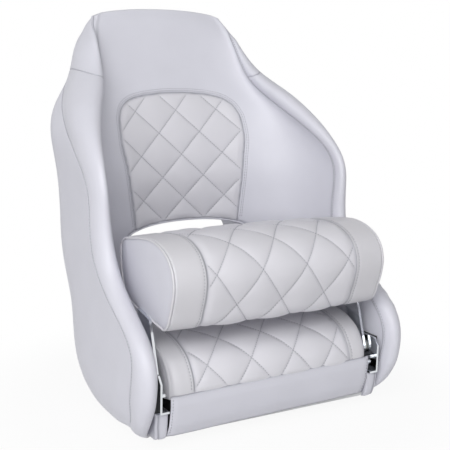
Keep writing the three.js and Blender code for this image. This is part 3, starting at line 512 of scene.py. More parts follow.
def polished_stainless(name, colour):
    """Polished stainless steel: bright, with faint polishing lines along the part and a few duller smears."""
    material, tree, body = new_material(name, Metallic=1.0)
    body.inputs["Base Color"].default_value = linear(colour)
    place = add(tree, "ShaderNodeTexCoord").outputs["Object"]
    stretch = add(tree, "ShaderNodeMapping", {"Scale": (1 / 0.0012, 1 / 0.0012, 1 / 0.03)}, {"Vector": place})
    lines = add(tree, "ShaderNodeTexNoise", {"Scale": 1.0, "Detail": 2.0}, {"Vector": stretch.outputs[0]})
    smears = add(tree, "ShaderNodeTexNoise", {"Scale": 1 / 0.03, "Detail": 3.0}, {"Vector": place})
    gloss = add(
        tree, "ShaderNodeMapRange", {"From Min": 0.35, "From Max": 0.7, "To Min": 0.06, "To Max": 0.2},
        {"Value": smears.outputs["Fac"]},
    )
    bump = add(
        tree, "ShaderNodeBump", {"Strength": 0.08, "Distance": 0.00005}, {"Height": lines.outputs["Fac"]}
    )
    tree.links.new(gloss.outputs[0], body.inputs["Roughness"])
    tree.links.new(bump.outputs[0], body.inputs["Normal"])
    return material


def moulded_plastic(name, colour, shade, roughness, cell=0.0006):
    """A moulded plastic with the fine sandy texture of a blasted tool."""
    material, tree, body = new_material(name, IOR=1.49)
    place = add(tree, "ShaderNodeTexCoord").outputs["Object"]
    sand = add(tree, "ShaderNodeTexNoise", {"Scale": 1 / cell, "Detail": 2.0}, {"Vector": place})
    flow = add(tree, "ShaderNodeTexNoise", {"Scale": 1 / 0.04, "Detail": 2.0}, {"Vector": place})
    mix = add(
        tree, "ShaderNodeMix", {"data_type": "RGBA", 6: linear(colour), 7: linear(shade)},
        {0: flow.outputs["Fac"]},
    )
    gloss = add(
        tree, "ShaderNodeMapRange", {"To Min": roughness - 0.06, "To Max": roughness + 0.06},
        {"Value": flow.outputs["Fac"]},
    )
    bump = add(tree, "ShaderNodeBump", {"Strength": 0.2, "Distance": 0.0001}, {"Height": sand.outputs["Fac"]})
    tree.links.new(mix.outputs[2], body.inputs["Base Color"])
    tree.links.new(gloss.outputs[0], body.inputs["Roughness"])
    tree.links.new(bump.outputs[0], body.inputs["Normal"])
    return material


def marine_plywood(name, colour, shade):
    """Sanded marine plywood: long grain figure, and dark glue lines where the edge shows the layers."""
    material, tree, body = new_material(name, IOR=1.5, Roughness=0.7)
    place = add(tree, "ShaderNodeTexCoord").outputs["Object"]
    stretch = add(tree, "ShaderNodeMapping", {"Scale": (1 / 0.12, 1 / 0.006, 1 / 0.0022)}, {"Vector": place})
    figure = add(
        tree, "ShaderNodeTexNoise", {"Scale": 1.0, "Detail": 5.0, "Distortion": 0.4},
        {"Vector": stretch.outputs[0]},
    ).outputs["Fac"]
    mix = add(tree, "ShaderNodeMix", {"data_type": "RGBA", 6: linear(colour), 7: linear(shade)}, {0: figure})
    bump = add(tree, "ShaderNodeBump", {"Strength": 0.2, "Distance": 0.0003}, {"Height": figure})
    tree.links.new(mix.outputs[2], body.inputs["Base Color"])
    tree.links.new(bump.outputs[0], body.inputs["Normal"])
    return material


def bonded_thread(name, colour, shade):
    """Bonded polyester thread: a soft sheen, and painted shade of its twist as fine darker slanting bands."""
    material, tree, body = new_material(name, IOR=1.55, Roughness=0.55)
    place = add(tree, "ShaderNodeTexCoord").outputs["Object"]
    twist = add(
        tree, "ShaderNodeTexWave", {"Scale": 1 / 0.0035, "bands_direction": "DIAGONAL"}, {"Vector": place}
    ).outputs["Fac"]
    # painted shade: darker slanting bands stand for the shade in the thread's twist
    mix = add(tree, "ShaderNodeMix", {"data_type": "RGBA", 6: linear(colour), 7: linear(shade)}, {0: twist})
    tree.links.new(mix.outputs[2], body.inputs["Base Color"])
    return material


def finish_of(name):
    """The finish with that name, made on first use from the colours of the panel."""
    if name in bpy.data.materials:
        return bpy.data.materials[name]
    c = bpy.context.scene.helm_seat_colours
    makers = {
        "cool_white_vinyl": lambda: upholstery_vinyl(name, c.vinyl, c.vinyl_tone_and_painted_shade),
        "warm_white_vinyl": lambda: upholstery_vinyl(name, c.band_vinyl, c.band_tone_and_painted_shade),
        "quilted_white_vinyl": lambda: upholstery_vinyl(name, c.quilt_vinyl, c.quilt_tone_and_painted_shade),
        "polished_stainless_steel": lambda: polished_stainless(name, c.steel),
        "black_moulded_nylon": lambda: moulded_plastic(name, "#1b1c1e", "#242527", 0.5),
        "natural_nylon": lambda: moulded_plastic(name, "#e9e7e0", "#dedbd2", 0.45),
        "rotomoulded_polyethylene": lambda: moulded_plastic(name, "#d9dadb", "#cfd0d2", 0.55, 0.0012),
        "sanded_marine_plywood": lambda: marine_plywood(name, "#a98a60", "#7d5f3e"),
        # The cushion board and the seat riser are coloured near black.
        "near_black_plywood": lambda: marine_plywood(name, "#1d1c1b", "#111010"),
        "bonded_white_thread": lambda: bonded_thread(name, c.thread, c.thread_painted_twist_shade),
    }
    return makers[name]()


# Upholstery


CLOTH_PRESSURE = 4.0
CLOTH_FRAMES = 20
# How far from a quilting line or a seam, and from the panel's rim, the cloth is held
HELD_AT_LINE = 2.4
HELD_AT_RIM = 3.0
# A distance that no seam is within
FAR = 1e3


def held_cloth(obj, held, cap):
    """Blows a cover up between its seams with a cloth simulation that holds its stitched points.

    No point moves by more than cap, in millimetres.
    """
    scene = bpy.context.scene
    group = obj.vertex_groups.new(name="held")
    group.add(np.nonzero(held)[0].tolist(), 1.0, "REPLACE")
    cloth = obj.modifiers.new("Cloth", "CLOTH")
    settings = cloth.settings
    settings.quality = 6
    settings.mass = 0.35
    settings.tension_stiffness = 18
    settings.compression_stiffness = 18
    settings.shear_stiffness = 8
    settings.bending_stiffness = 1.2
    settings.use_pressure = True
    settings.uniform_pressure_force = CLOTH_PRESSURE
    settings.vertex_group_mass = "held"
    settings.pin_stiffness = 1.0
    settings.effector_weights.gravity = 0
    cloth.collision_settings.use_collision = False
    cloth.point_cache.frame_start = 1
    cloth.point_cache.frame_end = CLOTH_FRAMES
    for number in range(1, CLOTH_FRAMES + 1):
        scene.frame_set(number)
    evaluated = obj.evaluated_get(bpy.context.evaluated_depsgraph_get())
    count = len(obj.data.vertices)
    blown = np.zeros(count * 3, np.float32)
    evaluated.data.vertices.foreach_get("co", blown)
    rest = np.zeros(count * 3, np.float32)
    obj.data.vertices.foreach_get("co", rest)
    moved = (blown - rest).reshape(-1, 3)
    far = np.linalg.norm(moved, axis=1, keepdims=True)
    limit = cap * MM
    moved *= limit * np.tanh(far / limit) / np.maximum(far, 1e-9)
    obj.modifiers.remove(cloth)
    obj.vertex_groups.remove(group)
    obj.data.vertices.foreach_set("co", (rest.reshape(-1, 3) + moved).ravel())
    obj.data.update()
    scene.frame_set(1)


def line_shares(u, v, pitch_u, pitch_v):
    """How far places lie from the nearest rising and falling quilting lines, as shares of the pitch."""
    rising, falling = u / pitch_u - v / pitch_v, u / pitch_u + v / pitch_v
    return np.abs(rising - np.round(rising)), np.abs(falling - np.round(falling))


def diamond(u, v, pitch_u, pitch_v):
    """Distance from quilting lines that cross every half pitch, and the puff between them, from 0 to 1."""
    rising, falling = line_shares(u, v, pitch_u, pitch_v)
    slope = math.hypot(1 / pitch_u, 1 / pitch_v)
    puff = np.sqrt(np.clip(np.sin(math.pi * falling) * np.sin(math.pi * rising), 0, 1))
    return np.minimum(falling, rising) / slope, puff


STITCH_SIDES = 6
# Share of a stitch's length, then width and rise there in thicknesses of the thread
STITCH_RINGS = ((0.0, 0.35, -0.5), (0.22, 1.0, 0.3), (0.5, 1.05, 0.45), (0.78, 1.0, 0.3), (1.0, 0.35, -0.5))


def stitch_row(surface, line, length, pitch, lift=0.15, thickness=0.5):
    """A row of stitches along a line, each a short length of thread that dips into the cover at both ends."""
    tree = BVHTree.FromObject(surface, bpy.context.evaluated_depsgraph_get())
    run = run_length(line)
    points, faces = [], []
    sides, rings = STITCH_SIDES, STITCH_RINGS
    for start in np.arange(pitch / 2, run[-1] - length, pitch):
        ends = along(line, np.array([start, start + length]))
        spots = []
        for p in ends:
            hit, normal, _, _ = tree.find_nearest(Vector(p * MM))
            spots.append((np.array(hit) / MM, np.array(normal)))
        (a, na), (b, nb) = spots
        direction = b - a
        reach = np.linalg.norm(direction)
        if reach < length * 0.5:
            continue
        direction /= reach
        up = (na + nb) / np.linalg.norm(na + nb)
        side = np.cross(direction, up)
        side /= np.linalg.norm(side)
        first = len(points)
        for share, width, rise in rings:
            centre = a + (b - a) * share + up * (lift + rise * thickness)
            for k in range(sides):
                turn = 2 * math.pi * k / sides
                points.append(centre + thickness * width * (math.cos(turn) * side + math.sin(turn) * up))
        for ring in range(len(rings) - 1):
            for k in range(sides):
                n = (k + 1) % sides
                base = first + ring * sides
                faces.append([base + k, base + n, base + sides + n, base + sides + k])
        faces.append([first + k for k in range(sides)][::-1])
        faces.append([first + (len(rings) - 1) * sides + k for k in range(sides)])
    return points, faces


def stitches(name, body, rows):
    """One piece with all the stitch rows of a cover. rows holds (surface, line, length, pitch)."""
    points, faces = [], []
    for surface, line, length, pitch in rows:
        more, shapes = stitch_row(surface, np.asarray(line, float), length, pitch)
        faces += [[i + len(points) for i in f] for f in shapes]
        points += more
    obj = mesh_object(name, points, faces, body)
    paint(obj, finish_of("bonded_white_thread"))


def levels_between(low, high, step):
    """Heights for a piece of the bucket, closer together at its top and low down, where it turns under."""
    z = [low]
    while z[-1] < high:
        here = z[-1]
        gap = step if here > 60 else step * (0.45 + 0.55 * max(here, 0) / 60)
        z.append(here + min(gap, max(0.9, 0.3 * (high - here))))
        if high - z[-1] < 0.9:
            break
    z[-1] = high
    return np.array(z)


# Heights, and how far past the wing's outer corner the padded edge's outer seam lies there: it runs
# round to the back at the shoulder. Then the same for the inner seam, which runs out to the
# headrest's top corner
OUTER_SEAM = np.array([
    [0, 6], [150, 2], [250, 0], [440, 0], [494, 10], [520, 19], [546, 28], [580, 46], [620, 68], [669, 82],
    [740, 76], [780, 44], [805, 8],
])
INNER_SEAM = np.array([
    [0, 0], [250, 0], [360, -5], [640, -4], [700, 0], [742, 0], [765, 4], [785, 11], [805, 17],
])


def seam_shifts(z):
    z = np.asarray(z, float)
    return [smooth_curve(places[:, 0], places[:, 1], z) for places in (INNER_SEAM, OUTER_SEAM)]


def bucket_grid(z, columns, outer):
    """Rows of points on the bucket's inner or outer face, and each point's distance from the side seams."""
    s = sections(z)
    shifts = seam_shifts(z)[int(outer)]
    rows, near = [], []
    for i, height in enumerate(z):
        line = face_arc(s, i, outer)
        start = shifts[i]
        if not outer:
            nose = nose_arc(s, i)
            line = np.concatenate([(nose * [-1, 1])[::-1], line[1:-1], nose])
            start = run_length(nose)[-1] - shifts[i]
        total = run_length(line)[-1] - 2 * start
        d = stations(total, columns)
        xy = along(line, start + d) if outer else rounded_along(line, start + d, foam_rounding(height))
        rows.append(np.column_stack([xy, height + crown_lift(xy[:, 0], height)]))
        near.append(np.minimum(d, total - d))
    return settled(np.array(rows)), np.array(near)


def settled(points):
    """Rounds the headrest's two top corners, where the foam is cut back under the cover."""
    x = np.abs(points[..., 0])
    drop = (11 * (x / 160) ** 2.6 + 4 * smoothstep(x, 128, 165)) * smoothstep(points[..., 2], 740, 805)
    return points - np.stack([0 * drop, 0 * drop, drop], -1)


class EdgeSurface:
    """The right-hand padded edge, read by height and by the share of the way across it from the inner seam."""

    level_step = 5.0
    columns = 80

    def __init__(self):
        self.z = np.arange(0, SEAT_HEIGHT + 1, self.level_step)
        share = np.linspace(0, 1, self.columns + 1)
        s = sections(self.z)
        inner, outer = seam_shifts(self.z)
        rows, self.width = [], []
        for i in range(len(self.z)):
            face, nose = face_arc(s, i, False)[len(ARC_SAMPLES) // 2 :], nose_arc(s, i)
            line = np.concatenate([face, nose[1:], face_arc(s, i, True)[::-1][1:]])
            width = run_length(nose)[-1] + outer[i] - inner[i]
            row = rounded_along(
                line, run_length(face)[-1] + inner[i] + share * width, foam_rounding(self.z[i]) * (1 - share)
            )
            for _ in range(2):
                # foam rounds the wing's outer corner off, and both ends stay where they are
                ends = np.concatenate([2 * row[:1] - row[4:0:-1], row, 2 * row[-1:] - row[-2:-6:-1]])
                row = sum(ends[k : k + len(row)] for k in range(9)) / 9
            rows.append(row)
            self.width.append(width)
        self.xy = np.array(rows)
        self.width = np.array(self.width)

    def at(self, z, share):
        """Points at heights z and shares of the width, which are arrays of one shape."""
        fz = np.clip(z / self.level_step, 0, len(self.z) - 1.001)
        fs = np.clip(share * self.columns, 0, self.columns - 0.001)
        i, j = fz.astype(int), fs.astype(int)
        a, b = (fz - i)[..., None], (fs - j)[..., None]
        xy = (
            self.xy[i, j] * (1 - a) * (1 - b) + self.xy[i + 1, j] * a * (1 - b)
            + self.xy[i, j + 1] * (1 - a) * b + self.xy[i + 1, j + 1] * a * b
        )
        lift = crown_lift(xy[..., 0], z)
        return settled(np.concatenate([xy, (z + lift)[..., None]], -1))

    @staticmethod
    def lean(z, share):
        """Heights moved so that the shoulder seam climbs towards the back."""
        near = smoothstep(z, 560, SHOULDER) * (1 - smoothstep(z, SHOULDER, 760))
        return z + (18 * smoothstep(share, -0.3, 0.8) - 5) * near


def over_the_top(grid, near, meeting):
    """Carries a cover over the headrest's top edge to the line in plan where the covers meet."""
    last = grid[-1]
    rows = []
    for w in np.linspace(0, math.pi / 2, 8)[1:]:
        xy = last[:, :2] + (meeting - last[:, :2]) * (1 - math.cos(w))
        row = settled(np.column_stack([xy, SEAT_HEIGHT + crown_lift(xy[:, 0], SEAT_HEIGHT)]))
        rows.append(row + [0, 0, 3 * math.sin(w)])
    return np.concatenate([grid, rows]), np.concatenate([near, np.repeat(near[-1:], 7, 0)])


def meeting_line(columns):
    """The line, in plan, where the front and the back cover of the headrest meet."""
    z = np.array([SEAT_HEIGHT])
    front = bucket_grid(z, columns, False)[0][0, :, :2]
    back = bucket_grid(z, columns, True)[0][0, :, :2]
    return (front + back) / 2


def open_grid(grid, outlines, outer):
    """Opens a face along outlines of the front view.

    Returns the moved grid, the faces to keep and the distance from each outline.
    """
    x, z = grid[:, :, 0], grid[:, :, 2]
    facing = grid[:, :, 1] > 60
    found = [outline_distance(x, z, o) for o in outlines]
    distances = np.array([d for d, _ in found])
    nearest = np.array([n for _, n in found])
    inside = (distances.min(axis=0) < 0) & facing
    # a point inside two outlines goes to the edge that isn't inside the other
    which = np.argmax(np.where(distances < 0, distances, -1e9), axis=0)
    if len(outlines) == 2:
        both = (distances < 0).all(axis=0)
        for k in (0, 1):
            other = outline_distance(nearest[k][..., 0], nearest[k][..., 1], outlines[1 - k])[0]
            which = np.where(both & (other >= -0.01), k, which)
    moved = grid.copy()
    spots = np.take_along_axis(nearest, which[None, ..., None], axis=0)[0][inside]
    moved[inside] = np.column_stack([spots[:, 0], depth_at(spots[:, 0], spots[:, 1], outer), spots[:, 1]])
    clear = [np.where(facing, np.maximum(np.where(inside, 0, d), 0), FAR) for d in distances]
    return moved, faces_outside(inside), clear


def faces_outside(gone):
    """The faces of a grid that keep at least one corner, where gone marks the points that are cut off."""
    return ~(gone[:-1, :-1] & gone[:-1, 1:] & gone[1:, 1:] & gone[1:, :-1])


def unevenness(points, size):
    """The slight waviness of hand-pulled upholstery, in millimetres."""
    x, y, z = points[..., 0], points[..., 1], points[..., 2]
    broad = np.sin(x / 41 + 0.7) * np.sin(z / 53 + y / 67)
    fine = np.sin(z / 29 - x / 37 + 1.9) * np.sin(y / 31 + 0.4)
    return size * (broad + 0.6 * fine)


def cover_piece(name, grid, sink, near, toward, keep=None, wrap_columns=False, hem=3.0, normals=None):
    """A cover of the bucket from a grid that sinks by so much at each point, facing toward a direction.

    near is the distance from the nearest seam, which sets the painted shade there, and hem how deep its cut
    edges turn in.
    """
    normals = grid_normals(grid, False, wrap_columns) if normals is None else normals
    turned = float((normals * toward).sum()) < 0
    normals = -normals if turned else normals
    if hem:
        # the cut edges turn in under the seams
        grid, normals = (np.pad(g, ((1, 1), (1, 1), (0, 0)), "edge") for g in (grid, normals))
        sink, near = np.pad(sink, 1, "edge"), np.pad(near, 1, "edge")
        rim = np.ones(sink.shape)
        rim[1:-1, 1:-1] = 0
        sink += hem * rim
        keep = None if keep is None else np.pad(keep, 1, "edge")
    points = (grid - normals * sink[..., None]).reshape(-1, 3)
    faces = grid_faces(grid.shape[0], grid.shape[1], False, wrap_columns, keep)
    if turned:
        faces = faces[:, ::-1]
    points, faces, used = used_only(points, faces)
    obj = mesh_object(name, points, faces, "seat")
    # painted shade: the colour darkens towards the seams, hems and cut edges
    point_attribute(obj, "seam", np.exp(-near.reshape(-1)[used] / 1.9))
    paint(obj, finish_of("cool_white_vinyl"))
    return obj


def bucket_face(low, girth, outer, sizes):
    """The grid of a bucket cover from a height to over the headrest's top edge.

    Returns it with each point's distance from the side seams, and from the side seams and the top edge.
    """
    columns = int(girth / sizes.mesh_step)
    grid, side = bucket_grid(levels_between(low, SEAT_HEIGHT, sizes.mesh_step), columns, outer)
    grid, side = over_the_top(grid, side, meeting_line(columns))
    down = run_length(grid[:, grid.shape[1] // 2])
    return grid, side, np.minimum(side, (down[-1] - down)[:, None])


def make_backrest(sizes):
    """The backrest's lining with the wings' inner faces, over the headrest's top edge."""
    grid, _, seam = bucket_face(31.0, 880, False, sizes)
    moved, keep, (at_arch, at_quilt) = open_grid(grid, [arch_outline(), quilt_outline()], outer=False)
    sink = np.maximum.reduce([
        tuck(seam, 2.8, sizes.seam_depth), tuck(at_quilt, 3.0, sizes.seam_depth), tuck(at_arch, 7.0, 6.0),
    ])
    # the topstitching pulls the foam down beside the quilted panel
    sink += 0.7 * np.exp(-(((at_quilt - 6.5) / 1.6) ** 2))
    sink -= unevenness(grid, 0.5) * smoothstep(seam, 4, 30)
    # painted shade beside the seams, the quilted panel and the opening
    near = np.minimum(seam, np.minimum(at_quilt, at_arch))
    # the covers' normals come from the grid before its points gather on the outlines
    lining = cover_piece(
        "backrest_lining", moved, sink, near, [0, -1, 0], keep=keep, normals=grid_normals(grid)
    )
    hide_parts("backrest_pad")


def make_outer_cover(sizes):
    """The cover of the sides and the back, in three widths with two seams down the back."""
    grid, side, seam = bucket_face(4.0, 1000, True, sizes)
    moved, keep, (at_arch,) = open_grid(grid, [arch_outline()], outer=True)
    x, y, z = grid[..., 0], grid[..., 1], grid[..., 2]
    back_seam = np.where(y > 120, np.abs(np.abs(x) - rear_seam_place(z)), FAR)
    sink = np.maximum.reduce([
        tuck(seam, 2.4, sizes.seam_depth * 0.6), tuck(back_seam, 3.0, 1.6), tuck(at_arch, 7.0, 6.0),
    ])
    sink -= unevenness(grid, 0.6) * smoothstep(seam, 4, 30)
    # the foam is fuller low on the sides
    sink -= 5.0 * (1 - smoothstep(z, 60, 260)) * smoothstep(side, 2, 60) * smoothstep(np.abs(x), 120, 230)
    # painted shade: full beside the back seams and the opening, weaker beside the side seams
    near = np.minimum(np.minimum(seam * 2 + 1.2, back_seam), at_arch)
    cover = cover_piece(
        "outer_side_cover", moved, sink, near, [0, 1, 0], keep=keep, normals=grid_normals(grid)
    )
    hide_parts("outer_cover")


def rear_seam_place(z):
    """X of the two seams down the back of the outer cover: they lean in with the headrest."""
    s = sections(np.clip(z, 0, SEAT_HEIGHT).ravel())
    return (0.62 * s["wide_x"]).reshape(np.shape(z))


def padded_edge(side, word, surface, sizes):
    """One side's padded edge between the inner and the outer seam, in two covers: wing and headrest."""
    low = levels_between(4.0, SHOULDER, sizes.mesh_step)
    high = levels_between(SHOULDER + EDGE_STEPS[-1], SEAT_HEIGHT, sizes.mesh_step)
    z = np.concatenate([low, SHOULDER + EDGE_STEPS[1:], high[1:]])
    share = stations(90.0, 28) / 90.0
    zz, ss = np.meshgrid(z, share, indexing="ij")
    grid = surface.at(surface.lean(zz, ss), ss)
    width = np.interp(z, surface.z, surface.width)[:, None]
    from_inner, from_outer = ss * width, (1 - ss) * width
    grid, _ = over_the_top(grid, ss, meeting_line(8)[-1])
    extra = len(grid) - len(z)
    from_inner, from_outer, ss, zz = (
        np.concatenate([g, np.repeat(g[-1:], extra, 0)]) for g in (from_inner, from_outer, ss, zz)
    )
    across = np.abs(zz - SHOULDER)
    sink = np.maximum.reduce([
        tuck(from_inner, 2.8, sizes.seam_depth), tuck(from_outer, 2.4, sizes.seam_depth * 0.6),
        tuck(across, 2.4, sizes.seam_depth * 0.6),
    ])
    # the stitch rows pull the foam down beside the seams
    sink += 0.5 * np.exp(-(((from_inner - 6.0) / 1.6) ** 2))
    sink += 0.35 * np.exp(-(((from_outer - 5.0) / 1.6) ** 2))
    fade = 1 - smoothstep(zz, 790, SEAT_HEIGHT)
    sink -= edge_fullness(zz) * fade * np.sin(math.pi * ss**1.3) * smoothstep(from_inner, -4, 26)
    sink -= unevenness(grid * [side, 1, 1], 0.6) * smoothstep(np.minimum(from_inner, from_outer), 3, 18)
    if side > 0:
        sink -= edge_folds(grid) * smoothstep(from_inner, 2, 14)
    # painted shade: full at the inner seam, weaker at the outer and the shoulder seams
    near = np.minimum(from_inner, np.minimum(from_outer, across) * 2 + 1.2)
    grid = grid * [side, 1, 1]
    normals = grid_normals(grid)
    for name, node, rows in (
        (f"wing_edge_{word}", f"wing_pad_{word}", slice(0, len(low))),
        (f"head_edge_{word}", f"head_side_{word}", slice(len(low) - 1, None)),
    ):
        edge = cover_piece(
            name, grid[rows], sink[rows], near[rows], [side * 0.3, -1, 0], normals=normals[rows]
        )
        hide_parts(node)


def edge_fullness(z):
    """How far the padded edge's foam swells out between its seams, in millimetres: most round the shoulder."""
    wing = smoothstep(z, 300, 520) * (1 - smoothstep(z, 690, 780))
    neck = smoothstep(z, 530, 640) * (1 - smoothstep(z, 700, 790))
    foot = 1 - smoothstep(z, 150, 330)
    return 2.0 + 1.0 * wing + 11.0 * neck + 2.5 * foot


# Height, lean, width and rise of each fold
EDGE_FOLDS = ((236, 0.35, 6, 1.6), (262, 0.5, 7, 1.3), (300, 0.6, 8, 1.1), (205, 0.25, 7, 1.0))


def edge_folds(grid):
    """Soft folds of the right-hand edge, where the bolster's arm rubs past it."""
    z, forward = grid[..., 2], grid[..., 1] + 200
    return sum(
        rise * np.exp(-(((z - height + lean * forward) / width) ** 2))
        for height, lean, width, rise in EDGE_FOLDS
    )


def make_padded_edges(sizes):
    """The wings' and the headrest's padded edges, left and right."""
    surface = EdgeSurface()
    for side, word in SIDES:
        padded_edge(side, word, surface, sizes)


def steps_over(low, high, step):
    """Whole steps from 0 that reach from a low place to a high one."""
    return step * np.arange(math.floor(low / step), math.ceil(high / step) + 1)


def make_back_quilt(sizes):
    """The quilted panel let into the backrest. Returns its rows of stitches."""
    step_x, step_z = QUILT_PITCH_X / sizes.quilt_cells, QUILT_PITCH_Z / sizes.quilt_cells
    x = QUILT_CROSSING_X + steps_over(-149, 159, step_x)
    z = QUILT_CROSSING_Z + steps_over(-168, 142, step_z)
    zz, xx = np.meshgrid(z, x, indexing="ij")
    quilt_line, arch_line = quilt_outline(), arch_outline()
    normals = grid_normals(np.stack([xx, depth_at(xx, zz, False), zz], -1))
    # the panel goes on under the lining, and it ends there and at the opening
    lap = 5.0
    in_quilt, at_quilt = outline_distance(xx, zz, grown(quilt_line, lap))
    in_arch, at_arch = outline_distance(xx, zz, arch_line)
    outside = (in_quilt > 0) | (in_arch < 0)
    spots = np.where((in_arch < 0)[..., None], at_arch, at_quilt)
    xx, zz = np.where(outside, spots[..., 0], xx), np.where(outside, spots[..., 1], zz)
    near = np.where(outside, 0, np.minimum(np.maximum(-in_quilt - lap, 0), in_arch))
    line, puff = diamond(xx - QUILT_CROSSING_X, zz - QUILT_CROSSING_Z, QUILT_PITCH_X, QUILT_PITCH_Z)
    puff = puff**1.1 * smoothstep(near, -4, 16)
    rise = sizes.quilt_depth * 0.8 * (puff - 0.45) - tuck(near, 3.0, sizes.seam_depth) + 1.2
    # the panel's rim rises to the lining's cut edge and goes on under it
    rise += 0.9 * np.exp(-near / 2.0)
    rise -= 5.0 * (1 - smoothstep(np.where(outside, 0, np.minimum(-in_quilt, in_arch)), 0, 1.8))
    grid = np.stack([xx, depth_at(xx, zz, False), zz], -1)
    cz, cx = np.meshgrid((z[:-1] + z[1:]) / 2, (x[:-1] + x[1:]) / 2, indexing="ij")
    at_rising, at_falling = line_shares(
        cx - QUILT_CROSSING_X, cz - QUILT_CROSSING_Z, QUILT_PITCH_X, QUILT_PITCH_Z
    )
    turned = normals[..., 1].sum() > 0
    normals = -normals if turned else normals
    points = (grid + normals * rise[..., None]).reshape(-1, 3)
    keep = faces_outside(outside)
    faces = cut_along_stitching(grid_faces(*grid.shape[:2], keep=keep), (at_falling < at_rising)[keep])
    faces = faces[:, ::-1] if turned else faces
    points, faces, used = used_only(points, faces)
    near, line = near.ravel()[used], line.ravel()[used]
    panel = mesh_object("back_quilt_cover", points, faces, "seat")
    # painted shade at the panel's rim and, fainter, along the quilting lines
    point_attribute(panel, "seam", np.maximum(np.exp(-near / 1.7), 0.34 * np.exp(-line / 1.3)))
    paint(panel, finish_of("quilted_white_vinyl"))
    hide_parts("back_quilt_panel")
    held_cloth(panel, (line <= HELD_AT_LINE) | (near <= HELD_AT_RIM), 1.6)
    rows = []
    for m in range(-4, 5):
        for falls in (1, -1):
            px = np.linspace(-150, 150, 200)
            pz = QUILT_CROSSING_Z + falls * QUILT_PITCH_Z * (m - (px - QUILT_CROSSING_X) / QUILT_PITCH_X)
            inside = outline_distance(px, pz, quilt_line)[0] < -4
            inside &= outline_distance(px, pz, arch_line)[0] > 5
            if inside.sum() > 6:
                px, pz = px[inside], pz[inside]
                rows.append((panel, np.column_stack([px, depth_at(px, pz, False), pz]), *QUILT_STITCH))
    return rows


def cut_along_stitching(quads, falling):
    """Cuts four-cornered faces in two, along the direction of the nearest stitching line."""
    first = np.where(falling[:, None], quads[:, [0, 1, 3]], quads[:, [0, 1, 2]])
    second = np.where(falling[:, None], quads[:, [1, 2, 3]], quads[:, [0, 2, 3]])
    return np.concatenate([first, second])


def closed_line(points, steps=24):
    """A smooth closed line through the points, as a dense polyline that ends on its first point."""
    p = np.asarray(points, float)
    n = np.roll(p, -1, 0)
    gap = np.linalg.norm(n - p, axis=1, keepdims=True)
    slope = (n - p) / gap
    gap_before, slope_before = np.roll(gap, 1, 0), np.roll(slope, 1, 0)
    tangent = (slope * gap_before + slope_before * gap) / (gap + gap_before)
    tangent_next = np.roll(tangent, -1, 0)
    t = (np.arange(steps) / steps)[None, :, None]
    line = (
        (1 + 2 * t) * (1 - t) ** 2 * p[:, None] + t * (1 - t) ** 2 * (gap * tangent)[:, None]
        + t * t * (3 - 2 * t) * n[:, None] - t * t * (1 - t) * (gap * tangent_next)[:, None]
    ).reshape(-1, 2)
    return np.concatenate([line, line[:1]])


class Ring:
    """The side view of a cushion as a closed line, read by the distance v from its first point."""

    def __init__(self, points):
        self.line = closed_line(points)
        self.run = run_length(self.line)
        self.length = self.run[-1]
        area = np.sum(self.line[:-1, 0] * self.line[1:, 1] - self.line[1:, 0] * self.line[:-1, 1])
        self.turn = 1 if area > 0 else -1

    def place_of(self, y, z):
        """The distance v of the line's point that is nearest to a place."""
        return self.run[np.argmin(np.hypot(self.line[:, 0] - y, self.line[:, 1] - z))]

    def at(self, v):
        v = np.mod(v, self.length)
        return np.stack([np.interp(v, self.run, self.line[:, k]) for k in (0, 1)], -1)

    def outward(self, v):
        d = self.at(v + 1.2) - self.at(v - 1.2)
        d = d / np.linalg.norm(d, axis=-1, keepdims=True)
        return self.turn * np.stack([d[..., 1], -d[..., 0]], -1)


def rounded_ends(ring, v, out, half, ends):
    """Rows that round a cushion's right end over and close it with a crowned face."""
    radius, middle_y, middle_z, bulge = ends
    base, outward = ring.at(v), ring.outward(v)
    rows = []
    for w in np.linspace(0, math.pi / 2, 6)[1:]:
        flat = base - outward * radius * (1 - math.cos(w)) + outward * out[:, None] * math.cos(w)
        rows.append(np.column_stack([np.full(len(v), half - radius + radius * math.sin(w)), flat]))
    edge = rows[-1][:, 1:]
    for f in (0.06, 0.14, 0.25, 0.38, 0.52, 0.66, 0.8, 0.92):
        flat = edge * (1 - f) + np.array([middle_y, middle_z]) * f
        rows.append(np.column_stack([np.full(len(v), half + bulge * math.sin(f * math.pi / 2)), flat]))
    return np.array(rows)


def fitted(grid, half, corner, limit):
    """Draws a cushion's front corners back and keeps it clear of what stands behind it."""
    if corner:
        grid[..., 1] += front_corner(grid[..., 0], grid[..., 1], half, corner)
    if limit is not None:
        grid[..., 1] = np.minimum(grid[..., 1], limit(grid[..., 0], grid[..., 2]))
    return grid


